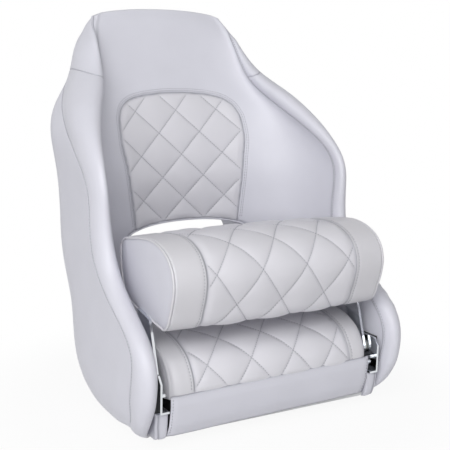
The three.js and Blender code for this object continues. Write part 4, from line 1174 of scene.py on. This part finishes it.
def quilted_tube(name, ring, half, seam_x, lattice, quilted, ends, sizes, limit=None, corner=0.0):
    """A quilted cushion: a tube round the ring with plain side bands, closed at both ends.

    lattice is (v of a crossing at X 0, X pitch, v pitch), quilted the lowest and highest v of the quilting,
    and ends (rounding radius, Y and Z of the end's middle, outward crown). Returns its rows of stitches.
    """
    cross, pitch_x, pitch_v = lattice
    step_x, step_v = pitch_x / sizes.quilt_cells, pitch_v / sizes.quilt_cells
    inner_x = step_x * np.arange(0, math.floor((seam_x - 1) / step_x) + 1)
    band = half - ends[0] - seam_x
    right = np.concatenate([inner_x, seam_x + stations(band, max(3, int(band / 5)))])
    x = np.concatenate([-right[:0:-1], right])
    low = math.ceil((quilted[0] - cross) / step_v)
    high = math.floor((quilted[1] - cross) / step_v)
    v = cross + step_v * np.arange(low, high + 1)
    rest = ring.length - (v[-1] - v[0])
    v = np.concatenate([v, v[-1] + np.linspace(0, rest, int(rest / 5) + 1)[1:-1]])
    xx, vv = np.meshgrid(x, v, indexing="ij")
    line, puff = diamond(xx, vv - cross, pitch_x, pitch_v)
    in_quilt = smoothstep(vv, quilted[0] - 6, quilted[0] + 8)
    in_quilt *= 1 - smoothstep(vv, quilted[1] - 8, quilted[1] + 6)
    seam = np.abs(np.abs(xx) - seam_x)
    on_quilt = np.abs(xx) < seam_x
    depth = sizes.quilt_depth * CUSHION_QUILTING_SHARE
    out = np.where(on_quilt, depth * (puff**1.1 * smoothstep(seam, -4, 16) - 0.42) * in_quilt, 0)
    out += CUSHION_CROWN * (1 - (xx / half) ** 2) * in_quilt
    out -= tuck(seam, 5.0, sizes.seam_depth) * in_quilt
    out -= np.where(on_quilt, 0, 0.8 * np.exp(-(((seam - 6.0) / 1.8) ** 2))) * in_quilt
    points_2d = ring.at(vv) + ring.outward(vv) * out[..., None]
    grid = np.concatenate([xx[..., None], points_2d], -1)
    end_rows = rounded_ends(ring, v, out[-1], half, ends)
    grid = fitted(np.concatenate([(end_rows * [-1, 1, 1])[::-1], grid, end_rows]), half, corner, limit)
    k = len(end_rows)
    near = np.full(grid.shape[:2], FAR)
    near[k:-k] = np.where(in_quilt > 0.5, seam, FAR)
    lines = np.full(grid.shape[:2], FAR)
    lines[k:-k] = np.where(on_quilt & (in_quilt > 0.5), line, FAR)
    # the quilted faces are cut in two along the nearest stitching line
    row = np.arange(len(grid) - 1)[:, None]
    middle_x, middle_v = (grid[:-1, :, 0] + grid[1:, :, 0]) / 2, v + 0.5 * step_v
    at_rising, at_falling = line_shares(middle_x, middle_v - cross, pitch_x, pitch_v)
    cut = (row >= k) & (row < len(grid) - 1 - k) & (np.abs(middle_x) < seam_x)
    cut = (cut & (middle_v > quilted[0]) & (middle_v < quilted[1])).ravel()
    quads = grid_faces(*grid.shape[:2], wrap_columns=True)
    triangles = cut_along_stitching(quads[cut], (at_falling < at_rising).ravel()[cut])
    faces = capped(grid, [*quads[~cut], *triangles])
    obj = mesh_object(name, grid.reshape(-1, 3), faces, "bolster" if "bolster" in name else "seat")
    # painted shade beside the side seams and, fainter, along the quilting lines
    point_attribute(obj, "seam", np.maximum(np.exp(-near.ravel() / 2.2), 0.34 * np.exp(-lines.ravel() / 1.3)))
    paint(obj, finish_of("quilted_white_vinyl"), finish_of("warm_white_vinyl"))
    for polygon in obj.data.polygons:
        if abs(polygon.center.x) > seam_x * MM:
            polygon.material_index = 1
    held_cloth(obj, ((np.minimum(near, lines) <= HELD_AT_LINE) | (near >= FAR / 2)).ravel(), 2.2)
    rows = []
    for m in range(-8, 9):
        for falls in (1, -1):
            lx = np.linspace(-seam_x + 4, seam_x - 4, 240)
            lv = cross + falls * pitch_v * (m - lx / pitch_x)
            inside = (lv > quilted[0] + 4) & (lv < quilted[1] - 4)
            if inside.sum() > 6:
                rows.append((obj, np.column_stack([lx[inside], ring.at(lv[inside])]), *QUILT_STITCH))
    lv = np.linspace(quilted[0] + 2, quilted[1] - 2, 200)
    for side, _ in SIDES:
        rows.append((obj, np.column_stack([np.full(200, side * (seam_x + 6.0)), ring.at(lv)]), *SEAM_STITCH))
    return rows


def front_corner(x, y, half, radius):
    """How far a cushion's front draws back at its two front corners, seen from above."""
    t = np.clip((np.abs(x) - (half - radius)) / radius, 0, 1)
    return radius * (1 - np.sqrt(np.maximum(1 - t * t, 0.0))) * 0.8 * smoothstep(-y, 90, 200)


def cushion_ring():
    y = CUSHION_REAR + (CUSHION_FRONT - CUSHION_REAR) * CUSHION_SHARES[:, 0]
    z = CUSHION_BOTTOM + (CUSHION_TOP - CUSHION_BOTTOM) * CUSHION_SHARES[:, 1]
    return Ring(np.column_stack([y, z]))


def bolster_ring():
    y = BOLSTER_REAR + (BOLSTER_FRONT - BOLSTER_REAR) * BOLSTER_SHARES[:, 0]
    z = BOLSTER_BOTTOM + (BOLSTER_TOP - BOLSTER_BOTTOM) * BOLSTER_SHARES[:, 1]
    return Ring(np.column_stack([y, z]))


def piping(name, ring, x, inset, radius, body, limit=None, corner=0.0):
    """A welt cord covered in vinyl, sewn round a cushion's end."""
    v = np.arange(0, ring.length, 5.0)
    outward = ring.outward(v)
    centre = ring.at(v) - outward * inset
    turns = np.linspace(0, 2 * math.pi, 11)[:-1]
    grid = np.array([
        np.column_stack([np.full(len(v), x + radius * math.cos(t)), centre + outward * radius * math.sin(t)])
        for t in turns
    ])
    grid = fitted(grid, CUSHION_HALF, corner, limit)
    obj = mesh_object(name, grid.reshape(-1, 3), grid_faces(*grid.shape[:2], True, True), body)
    point_attribute(obj, "seam", np.zeros(len(obj.data.vertices)))
    paint(obj, finish_of("warm_white_vinyl"))
    return obj


def make_seat_cushion(sizes):
    """The quilted seat cushion with its welts. Returns its rows of stitches."""
    ring = cushion_ring()

    def clear_of_back(x, z):
        return depth_at(np.clip(x, -250, 250), np.clip(z, 60, 240), False) - 2.5

    start = ring.place_of(CUSHION_FRONT, CUSHION_BOTTOM)
    rows = quilted_tube(
        "seat_cushion_cover", ring, CUSHION_HALF, CUSHION_SEAM, lattice=(start + 115.0, 95.0, 116.0),
        quilted=(start + 12.0, start + 440.0), ends=(9.0, -15.0, 141.0, 0.5), sizes=sizes,
        limit=clear_of_back, corner=CUSHION_CORNER,
    )
    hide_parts("seat_cushion")
    for side, word in SIDES:
        name = f"seat_cushion_welt_{word}"
        piping(name, ring, side * 220.5, 3.0, 2.2, "seat", clear_of_back, CUSHION_CORNER)
    return rows


def make_bolster(sizes):
    """The quilted bolster cushion with its end panels and their welts. Returns its rows of stitches."""
    ring = bolster_ring()
    underside_front = BOLSTER_REAR + (BOLSTER_FRONT - BOLSTER_REAR) * BOLSTER_SHARES[2, 0]
    start = ring.place_of(underside_front, BOLSTER_BOTTOM)
    rows = quilted_tube(
        "bolster_cushion_cover", ring, BOLSTER_HALF, BOLSTER_SEAM, lattice=(start + 72.0, 97.0, 131.0),
        quilted=(start - 5.0, start + 405.0), ends=(3.5, *BOLSTER_MIDDLE, -0.5), sizes=sizes,
    )
    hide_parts("bolster_pad")
    for side, word in SIDES:
        welt = piping(f"bolster_welt_{word}", ring, side * 230.6, 2.7, 2.4, "bolster")
        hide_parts(f"bolster_piping_{word}")
        end = end_panel(f"bolster_end_cover_{word}", ring, side)
        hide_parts(f"bolster_end_{word}")
    return rows


# Share of the way from an end panel's rim to its middle, and the distance from the seam that sets the painted
# shade there
END_SHARES = (0.0, 0.02, 0.05, 0.1, 0.18, 0.3, 0.44, 0.6, 0.76, 0.9)
END_SEAM_DISTANCES = (2, 4, 6, 9, 15, 20, 30, 30, 30, 30)


def end_panel(name, ring, side):
    """A bolster's end: a crowned panel inside the welt."""
    v = np.arange(0, ring.length, 5.0)
    edge = ring.at(v) - ring.outward(v) * 4.2
    foot = BOLSTER_HALF + 0.4
    rings = [np.column_stack([np.full(len(v), foot), edge])]
    for f in END_SHARES:
        rise = 1.6 + 2.6 * math.sqrt(1 - (1 - f) ** 8) + 1.2 * f
        flat = edge * (1 - f) + np.array(BOLSTER_MIDDLE) * f
        rings.append(np.column_stack([np.full(len(v), foot + rise), flat]))
    grid = np.array(rings) * [side, 1, 1]
    faces = capped(grid, grid_faces(*grid.shape[:2], wrap_columns=True))
    obj = mesh_object(name, grid.reshape(-1, 3), faces, "bolster")
    # painted shade towards the welt's seam
    near = np.array(END_SEAM_DISTANCES[:1] + END_SEAM_DISTANCES, float)
    point_attribute(obj, "seam", np.exp(-np.repeat(near, len(v)) / 2.2))
    paint(obj, finish_of("cool_white_vinyl"))
    return obj


# Distance of each ring of a lip inside the opening's outline, and from the nearest seam, which sets its
# painted shade
LIP_INSETS = (-4.0, -1.5, 0.4, 2.0)
LIP_SEAM_DISTANCES = (0.5, 2.0, 6.0, 8.0)


def make_opening_lining():
    """The lining of the opening between backrest and seat, with a thin lip front and back."""
    outline = arch_outline()
    front = depth_at(outline[:, 0], outline[:, 1], False)
    back = depth_at(outline[:, 0], outline[:, 1], True)

    def ring_at(inset, y):
        offset = grown(outline, -inset)
        return np.column_stack([offset[:, 0], y, offset[:, 1]])

    def behind(inset):
        """How far a lip's ring lies behind the cover's face."""
        return 3.5 if inset < 0 else -0.6 + 0.5 * inset

    shares = np.linspace(0.02, 0.98, 14)
    rows = [ring_at(inset, front + behind(inset)) for inset in LIP_INSETS]
    rows += [ring_at(3.0, front + 1.5 + (back - front - 3) * share) for share in shares]
    rows += [ring_at(inset, back - behind(inset)) for inset in LIP_INSETS[::-1]]
    grid = np.array(rows)
    toward = np.zeros(grid.shape)
    toward[..., 0] = -grid[..., 0]
    toward[..., 2] = 280 - grid[..., 2]
    near = np.array(LIP_SEAM_DISTANCES + (30.0,) * len(shares) + LIP_SEAM_DISTANCES[::-1])
    near = np.repeat(near[:, None], grid.shape[1], 1)
    lining = cover_piece(
        "opening_lining", grid, np.zeros(grid.shape[:2]), near, toward, wrap_columns=True, hem=0
    )
    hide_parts("arch_lining")


SKIRT_TOP = 106.5
SKIRT_DROP = 83.0
SKIRT_FRONT = -208.2
SKIRT_LEAN = 20.0
# Share of the skirt's lean, and the share of its drop where it has leaned so far
SKIRT_SHARES = np.array([[0, 0], [0, 0.2], [0.12, 0.4], [0.4, 0.7], [1, 1]])


def make_skirt():
    """The plain flap that hangs from the cushion's lower front seam. Returns its rows of stitches."""
    v = np.linspace(0, 1, 30)
    lean = smooth_curve(SKIRT_SHARES[:, 1], SKIRT_SHARES[:, 0], v)
    x = np.linspace(-CUSHION_HALF, CUSHION_HALF, 110)
    vv, xx = np.meshgrid(v, x, indexing="ij")
    y = SKIRT_FRONT + SKIRT_LEAN * lean[:, None]
    wave = 1.3 * np.sin(xx / 33 + 0.6) * np.sin(xx / 71) * smoothstep(vv, 0.15, 1)
    # it hangs a little askew, as in the photograph
    askew = 4.0 * xx / CUSHION_HALF
    grid = np.stack([xx, y + wave, SKIRT_TOP - SKIRT_DROP * vv + askew], -1)
    # the side edges curl in a little
    grid[..., 1] += 3.0 * smoothstep(np.abs(xx), CUSHION_HALF - 14, CUSHION_HALF)
    from_top, from_hem = vv * SKIRT_DROP, (1 - vv) * SKIRT_DROP
    sink = tuck(from_top, 3, 1.2) + 0.35 * np.exp(-(((CUSHION_HALF - 6 - np.abs(xx)) / 1.5) ** 2))
    # painted shade under the top seam and along the hem
    near = np.minimum(from_top, from_hem + 2)
    skirt = cover_piece("front_skirt_flap", grid, sink, near, [0, -1, 0], hem=0)
    solidify(skirt, 1.6)
    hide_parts("front_skirt")
    columns = [np.argmin(np.abs(x - side * (CUSHION_HALF - 6))) for side, _ in SIDES]
    return [(skirt, grid[1:-1, column], *SEAM_STITCH) for column in columns]


SILL_FRONT = -188.0
SILL_LENGTH = 248.0
SILL_SEAM = -70.0
# X and Z of a sill's middle, and half its width and its height
SILL_PLACE = (240.0, 51.1)
SILL_HALF = (11.0, 20.4)


def make_sills():
    """The covered blocks under the hinge brackets."""
    turns = np.linspace(0, 2 * math.pi, 33)[:-1]
    power = 7.0
    radius = (np.abs(np.cos(turns)) ** power + np.abs(np.sin(turns)) ** power) ** (-1 / power)
    shares = np.concatenate([np.linspace(0, 0.05, 5), np.linspace(0.08, 0.92, 24), np.linspace(0.95, 1, 5)])
    for side, word in SIDES:
        rows = []
        for t in shares:
            from_end = min(t, 1 - t, 0.05) / 0.05
            shrink = 1 - 0.25 * (1 - math.sqrt(max(0, 1 - (1 - from_end) ** 2)))
            x = side * (SILL_PLACE[0] + SILL_HALF[0] * shrink * radius * np.cos(turns))
            z = SILL_PLACE[1] + SILL_HALF[1] * shrink * radius * np.sin(turns)
            rows.append(np.column_stack([x, np.full(len(turns), SILL_FRONT + SILL_LENGTH * t), z]))
        grid = np.array(rows)
        faces = capped(grid, grid_faces(*grid.shape[:2], wrap_columns=True))
        sill = mesh_object(f"pocket_sill_cover_{word}", grid.reshape(-1, 3), faces, "seat")
        # painted shade along the sill's seam
        point_attribute(sill, "seam", np.exp(-np.abs(grid[..., 1].ravel() - SILL_SEAM) / 1.5))
        paint(sill, finish_of("cool_white_vinyl"))
        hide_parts(f"pocket_sill_{word}")
        make_sill_front(side, word)


# Height and Y of the front's side view, and height and X of its outer edge
SILL_FRONT_PROFILE = np.array([
    [17, -184], [20, -189], [26, -192], [38, -195], [55, -198], [66, -199], [70.5, -196], [71.5, -190],
])
SILL_FRONT_EDGE = np.array([[4, 243], [20, 249], [45, 252.5]])
SILL_FRONT_INNER = 225.6


def make_sill_front(side, word):
    """The sill's front between the skirt and the wing, in two strips with a seam between them."""
    z = [17, 17.8, 19, 20.5, *np.linspace(22, 66, 20), 68, 69.5, 70.5, 71.2, 71.5]
    front = smooth_curve(SILL_FRONT_PROFILE[:, 0], SILL_FRONT_PROFILE[:, 1], z)[:, None]
    outer = np.interp(z, SILL_FRONT_EDGE[:, 0], SILL_FRONT_EDGE[:, 1])[:, None]
    inner_shares = np.linspace(0, 1, 30)
    share = np.concatenate([[0, 0, 0], inner_shares, [1, 1, 1]])
    back = np.concatenate([[26, 12, 4], 3.0 * (2 * inner_shares - 1) ** 6, [4, 12, 40]])
    x = SILL_FRONT_INNER + (outer - SILL_FRONT_INNER) * share
    grid = np.stack([x, front + back, np.repeat(np.array(z)[:, None], len(share), 1)], -1)
    seam = np.abs(x - (outer - 6.0))
    edge = np.minimum(share, 1 - share) * 26
    sink = tuck(seam, 2.0, 1.6) - 1.0 * np.sin(math.pi * np.clip(share / 0.78, 0, 1))
    # painted shade at the seam and the curled side edges
    near = np.minimum(seam, edge + 1.5)
    piece = cover_piece(
        f"pocket_sill_front_{word}", grid * [side, 1, 1], sink, near, [0, -1, 0], hem=0
    )


def edge_line(surface, z, distance, side, outer):
    """A line down the padded edge at a distance from its inner seam, or from the outer one."""
    width = np.interp(z, surface.z, surface.width)
    share = 1 - distance / width if outer else distance / width
    return surface.at(surface.lean(z, share), share) * [side, 1, 1]


def make_bucket_stitching():
    """The rows of stitches beside the bucket's seams."""
    objects = bpy.data.objects
    surface = EdgeSurface()
    rows = []
    low, high = np.linspace(50, SHOULDER - 3, 200), np.linspace(SHOULDER + 3, SEAT_HEIGHT - 2, 60)
    for side, word in SIDES:
        for piece, z in ((objects[f"wing_edge_{word}"], low), (objects[f"head_edge_{word}"], high)):
            rows.append((piece, edge_line(surface, z, 5.0, side, False), *SEAM_STITCH))
            rows.append((piece, edge_line(surface, z, 4.5, side, True), *SEAM_STITCH))
    lining = objects["backrest_lining"]
    for distance in (5.5, 9.5):
        line = grown(quilt_outline(), distance)
        kept = (line[:, 1] > 345) & (outline_distance(line[:, 0], line[:, 1], arch_outline())[0] > 8)
        first = int(np.argmin(line[:, 1]))
        line, kept = np.roll(line, -first, 0), np.roll(kept, -first)
        x, z = line[kept].T
        rows.append((lining, np.column_stack([x, depth_at(x, z, False), z]), *SEAM_STITCH))
    cover = objects["outer_side_cover"]
    z = np.linspace(20, SEAT_HEIGHT - 8, 200)
    for side, _ in SIDES:
        for offset in (-5, 5):
            x = side * (rear_seam_place(z) + offset)
            line = settled(np.column_stack([x, depth_at(x, z, True), z + crown_lift(x, z)]))
            rows.append((cover, line, *SEAM_STITCH))
    stitches("bucket_stitching", "seat", rows)


NODE_FINISH = {
    "stainless": "polished_stainless_steel",
    "black_plastic": "black_moulded_nylon",
    "nylon": "natural_nylon",
    "moulded_shell": "rotomoulded_polyethylene",
    "plywood": "sanded_marine_plywood",
    "near_black": "near_black_plywood",
}
SLOT_OF_NODE = {
    "black_plastic": ("hinge_block",),
    "nylon": ("pivot_bush",),
    # the cushion board and the seat riser are coloured near black
    "near_black": ("cushion_board", "seat_riser"),
    "moulded_shell": ("shell_floor", "shell_back", "shell_side"),
    "plywood": ("base_board", "bolster_board"),
}


def finish_hardware():
    """Gives every node of the frame that shows as it is its finish and fine rounded edges."""
    for name, node in frame["nodes"].items():
        if node.hide_render:
            continue
        slot = next((s for s, starts in SLOT_OF_NODE.items() if name.startswith(starts)), "stainless")
        finish = finish_of(NODE_FINISH[slot])
        node.data.materials.clear()
        node.data.materials.append(finish)
        edge = node.modifiers.new("Edges", "BEVEL")
        edge.width = 0.0004
        edge.segments = 2
        edge.limit_method = "ANGLE"
        edge.harden_normals = False


# Studio


def looked_at(tree):
    """1 where the camera, a mirror or glass looks at a surface, and 0 for the light that it gives others."""
    path = add(tree, "ShaderNodeLightPath").outputs
    seen = path["Is Camera Ray"]
    for kind in ("Is Glossy Ray", "Is Transmission Ray"):
        seen = add(tree, "ShaderNodeMath", {"operation": "MAXIMUM"}, {0: seen, 1: path[kind]}).outputs[0]
    return seen


def make_air(studio):
    """The surroundings: plain white where they are seen, and softer where they light the seat."""
    world = bpy.data.worlds.new("white_studio")
    world.use_nodes = True
    tree = world.node_tree
    tree.nodes.clear()
    seen = looked_at(tree)
    soft = add(tree, "ShaderNodeBackground", {"Color": linear(studio.air), "Strength": studio.air_strength})
    white = add(tree, "ShaderNodeBackground", {"Color": linear("#ffffff"), "Strength": 1.0})
    mix = add(tree, "ShaderNodeMixShader", None, {0: seen, 1: soft.outputs[0], 2: white.outputs[0]})
    add(tree, "ShaderNodeOutputWorld", None, {"Surface": mix.outputs[0]})
    bpy.context.scene.world = world


def white_paper(name):
    """Matt studio paper: it takes the seat's shadow, and fades to plain white away from it."""
    material = bpy.data.materials.new(name)
    material.use_nodes = True
    tree = material.node_tree
    tree.nodes.clear()
    place = add(tree, "ShaderNodeTexCoord").outputs["Object"]
    fibre = add(tree, "ShaderNodeTexNoise", {"Scale": 1 / 0.003, "Detail": 2.0}, {"Vector": place})
    bump = add(
        tree, "ShaderNodeBump", {"Strength": 0.05, "Distance": 0.0001}, {"Height": fibre.outputs["Fac"]}
    )
    paper = add(
        tree, "ShaderNodeBsdfPrincipled", {"Base Color": linear("#e6e6e6"), "Roughness": 0.8},
        {"Normal": bump.outputs[0]},
    )
    glow = add(tree, "ShaderNodeEmission", {"Color": linear("#ffffff"), "Strength": 1.0})
    away = add(tree, "ShaderNodeVectorMath", {"operation": "LENGTH"}, {0: place})
    fade = add(
        tree, "ShaderNodeMapRange",
        {"From Min": 0.35, "From Max": 0.7, "To Min": 0.92, "To Max": 1.0, "interpolation_type": "SMOOTHSTEP"},
        {"Value": away.outputs["Value"]},
    )
    seen = looked_at(tree)
    share = add(tree, "ShaderNodeMath", {"operation": "MULTIPLY"}, {0: fade.outputs[0], 1: seen}).outputs[0]
    mix = add(tree, "ShaderNodeMixShader", None, {0: share, 1: paper.outputs[0], 2: glow.outputs[0]})
    add(tree, "ShaderNodeOutputMaterial", None, {"Surface": mix.outputs[0]})
    return material


def make_floor():
    """A round sheet of paper under the seat, in metres."""
    mesh = bpy.data.meshes.new("studio_floor")
    steps = 64
    turns = [2 * math.pi * k / steps for k in range(steps)]
    points = [(0.0, 0.0, 0.0)]
    faces = [(0, 1 + k, 1 + (k + 1) % steps) for k in range(steps)]
    for ring, radius in enumerate((0.6, 1.2, 2.4, 5.0, 12.0)):
        points += [(radius * math.cos(t), radius * math.sin(t), 0.0) for t in turns]
        if ring:
            a, b = 1 + (ring - 1) * steps, 1 + ring * steps
            faces += [(a + k, b + k, b + (k + 1) % steps, a + (k + 1) % steps) for k in range(steps)]
    mesh.from_pydata(points, [], faces)
    floor = bpy.data.objects.new("studio_floor", mesh)
    bpy.context.scene.collection.objects.link(floor)
    mesh.materials.append(white_paper("white_paper_floor"))


def aimed(obj, place, target):
    """Puts a lamp or a camera at a place, in metres, and points it at a target."""
    obj.location = place
    obj.rotation_euler = (Vector(target) - obj.location).to_track_quat("-Z", "Y").to_euler()
    bpy.context.scene.collection.objects.link(obj)


def make_lamps(studio):
    """Three large softboxes: above the camera, in front and on the left."""
    for name, place, size, power in (
        ("high_softbox", (-1.2, -2.0, 2.8), 2.2, studio.high_power),
        ("front_softbox", (-1.5, -2.9, 1.7), 2.6, studio.front_power),
        ("side_softbox", (-2.6, -1.6, 2.0), 2.2, studio.side_power),
    ):
        lamp = bpy.data.lights.new(name, "AREA")
        lamp.shape = "DISK"
        lamp.size = size
        lamp.energy = power
        aimed(bpy.data.objects.new(name, lamp), place, (0, 0, 0.4))


def make_camera():
    """The camera of the photograph, as fitted to the seat's seams."""
    scene = bpy.context.scene
    camera = bpy.data.cameras.new("photo_view")
    camera.lens = 75.64
    camera.sensor_width = 36
    camera.shift_x = 0.0022
    camera.shift_y = -0.0509
    camera.clip_start = 0.05
    holder = bpy.data.objects.new("photo_view", camera)
    aimed(holder, (-0.9367, -1.6917, 0.7176), (0, 0, 0.417))
    scene.camera = holder
    scene.view_settings.view_transform = "Standard"


# Add-on


class HelmSeatSizes(bpy.types.PropertyGroup):
    """Sizes of the upholstery that a user may change."""

    seam_depth: bpy.props.FloatProperty(
        name="Seam depth", description="How far a cover sinks into a seam, in millimetres",
        default=2.0, min=0,
    )
    quilt_depth: bpy.props.FloatProperty(
        name="Quilting depth", description="Depth of the quilting between its diamonds, in millimetres",
        default=5.6, min=0,
    )
    mesh_step: bpy.props.FloatProperty(
        name="Mesh step", description="Spacing of the covers' points, in millimetres", default=4.6, min=2,
    )
    quilt_cells: bpy.props.IntProperty(
        name="Quilt cells", description="Points across one diamond of the quilting", default=30, min=8,
    )


class HelmSeatColours(bpy.types.PropertyGroup):
    """Colours of the seat, as sRGB hex values."""

    vinyl: bpy.props.StringProperty(
        name="Cover", description="Vinyl of the bucket's covers", default="#d2d2db",
    )
    # the darker colour gives the cover's faint tone patches and the painted shade in its seams and hems
    vinyl_tone_and_painted_shade: bpy.props.StringProperty(
        name="Cover shade", description="Vinyl of the bucket's covers in its darker patches and seams",
        default="#85858f",
    )
    band_vinyl: bpy.props.StringProperty(
        name="Bands", description="Vinyl of the padded edges and the side bands", default="#d0cfd4",
    )
    # the darker colour gives the bands' faint tone patches and the painted shade in their seams
    band_tone_and_painted_shade: bpy.props.StringProperty(
        name="Bands shade", description="Vinyl of the bands in its darker patches and seams",
        default="#8f8f96",
    )
    quilt_vinyl: bpy.props.StringProperty(
        name="Quilting", description="Vinyl of the quilted faces", default="#d5d4da",
    )
    # the darker colour gives the quilting's faint tone patches and the painted shade in its seams and quilting
    # lines
    quilt_tone_and_painted_shade: bpy.props.StringProperty(
        name="Quilting shade", description="Vinyl of the quilted faces in their seams", default="#9a9aa4",
    )
    steel: bpy.props.StringProperty(name="Steel", description="Polished stainless steel", default="#dcdfe3")
    # the white thread is coloured mid grey, which paints shade onto the stitches
    thread: bpy.props.StringProperty(name="Thread", description="Stitching thread", default="#94949d")
    thread_painted_twist_shade: bpy.props.StringProperty(
        name="Thread shade", description="Stitching thread between its twists", default="#7a7a84",
    )


class HelmSeatStudio(bpy.types.PropertyGroup):
    """Light of the studio."""

    air: bpy.props.StringProperty(
        name="Air", description="Colour of the light from all sides", default="#ffffff",
    )
    air_strength: bpy.props.FloatProperty(
        name="Air strength", description="Strength of the light from all sides", default=0.3, min=0,
    )
    high_power: bpy.props.FloatProperty(
        name="High lamp", description="Power of the lamp above the camera", default=16.0, min=0, unit="POWER",
    )
    front_power: bpy.props.FloatProperty(
        name="Front lamp", description="Power of the lamp in front", default=43.0, min=0, unit="POWER",
    )
    side_power: bpy.props.FloatProperty(
        name="Side lamp", description="Power of the lamp on the left", default=42.0, min=0, unit="POWER",
    )


class HELMSEAT_OT_bucket(bpy.types.Operator):
    """Builds the bucket's covers: the backrest, the outer cover, the padded edges and the opening's lining"""

    bl_idname = "helmseat.bucket"
    bl_label = "Bucket Covers"

    def execute(self, context):
        sizes = context.scene.helm_seat_sizes
        make_backrest(sizes)
        make_outer_cover(sizes)
        make_padded_edges(sizes)
        make_opening_lining()
        stitches("back_quilt_stitching", "seat", make_back_quilt(sizes))
        make_bucket_stitching()
        return {"FINISHED"}


class HELMSEAT_OT_cushion(bpy.types.Operator):
    """Builds the seat cushion, its welts and stitches, the skirt in front of it and the sills beside it"""

    bl_idname = "helmseat.cushion"
    bl_label = "Seat Cushion"

    def execute(self, context):
        sizes = context.scene.helm_seat_sizes
        rows = make_seat_cushion(sizes)
        skirt_rows = make_skirt()
        make_sills()
        stitches("seat_cushion_stitching", "seat", rows)
        stitches("skirt_stitching", "seat", skirt_rows)
        return {"FINISHED"}


class HELMSEAT_OT_bolster(bpy.types.Operator):
    """Builds the bolster's cushion, end panels, welts and stitches"""

    bl_idname = "helmseat.bolster"
    bl_label = "Bolster"

    def execute(self, context):
        rows = make_bolster(context.scene.helm_seat_sizes)
        stitches("bolster_stitching", "bolster", rows)
        return {"FINISHED"}


class HELMSEAT_OT_hardware(bpy.types.Operator):
    """Gives the frame's arms, brackets, screws, boards and shell their finishes"""

    bl_idname = "helmseat.hardware"
    bl_label = "Hardware"

    def execute(self, context):
        finish_hardware()
        return {"FINISHED"}


class HELMSEAT_OT_studio(bpy.types.Operator):
    """Sets up the floor, the lamps and the camera"""

    bl_idname = "helmseat.studio"
    bl_label = "Studio"

    def execute(self, context):
        studio = context.scene.helm_seat_studio
        make_air(studio)
        make_floor()
        make_lamps(studio)
        make_camera()
        return {"FINISHED"}


OPERATORS = (
    HELMSEAT_OT_bucket, HELMSEAT_OT_cushion, HELMSEAT_OT_bolster, HELMSEAT_OT_hardware, HELMSEAT_OT_studio,
)


class HELMSEAT_PT_panel(bpy.types.Panel):
    """Lists the seat's sizes, colours and building steps"""

    bl_idname = "HELMSEAT_PT_panel"
    bl_label = "Helm Bucket Seat"
    bl_space_type = "VIEW_3D"
    bl_region_type = "UI"
    bl_category = "Helm Seat"

    def draw(self, context):
        layout = self.layout
        scene = context.scene
        for group in (scene.helm_seat_sizes, scene.helm_seat_colours, scene.helm_seat_studio):
            column = layout.column(align=True)
            for name in group.__annotations__:
                column.prop(group, name)
        for operator in OPERATORS:
            layout.operator(operator.bl_idname)


CLASSES = (HelmSeatSizes, HelmSeatColours, HelmSeatStudio) + OPERATORS + (HELMSEAT_PT_panel,)


def register():
    for cls in CLASSES:
        bpy.utils.register_class(cls)
    bpy.types.Scene.helm_seat_sizes = bpy.props.PointerProperty(type=HelmSeatSizes)
    bpy.types.Scene.helm_seat_colours = bpy.props.PointerProperty(type=HelmSeatColours)
    bpy.types.Scene.helm_seat_studio = bpy.props.PointerProperty(type=HelmSeatStudio)


def unregister():
    del bpy.types.Scene.helm_seat_studio
    del bpy.types.Scene.helm_seat_colours
    del bpy.types.Scene.helm_seat_sizes
    for cls in reversed(CLASSES):
        bpy.utils.unregister_class(cls)


def main():
    register()
    bpy.ops.helmseat.bucket()
    bpy.ops.helmseat.cushion()
    bpy.ops.helmseat.bolster()
    bpy.ops.helmseat.hardware()
    bpy.ops.helmseat.studio()


if __name__ == "__main__":
    main()
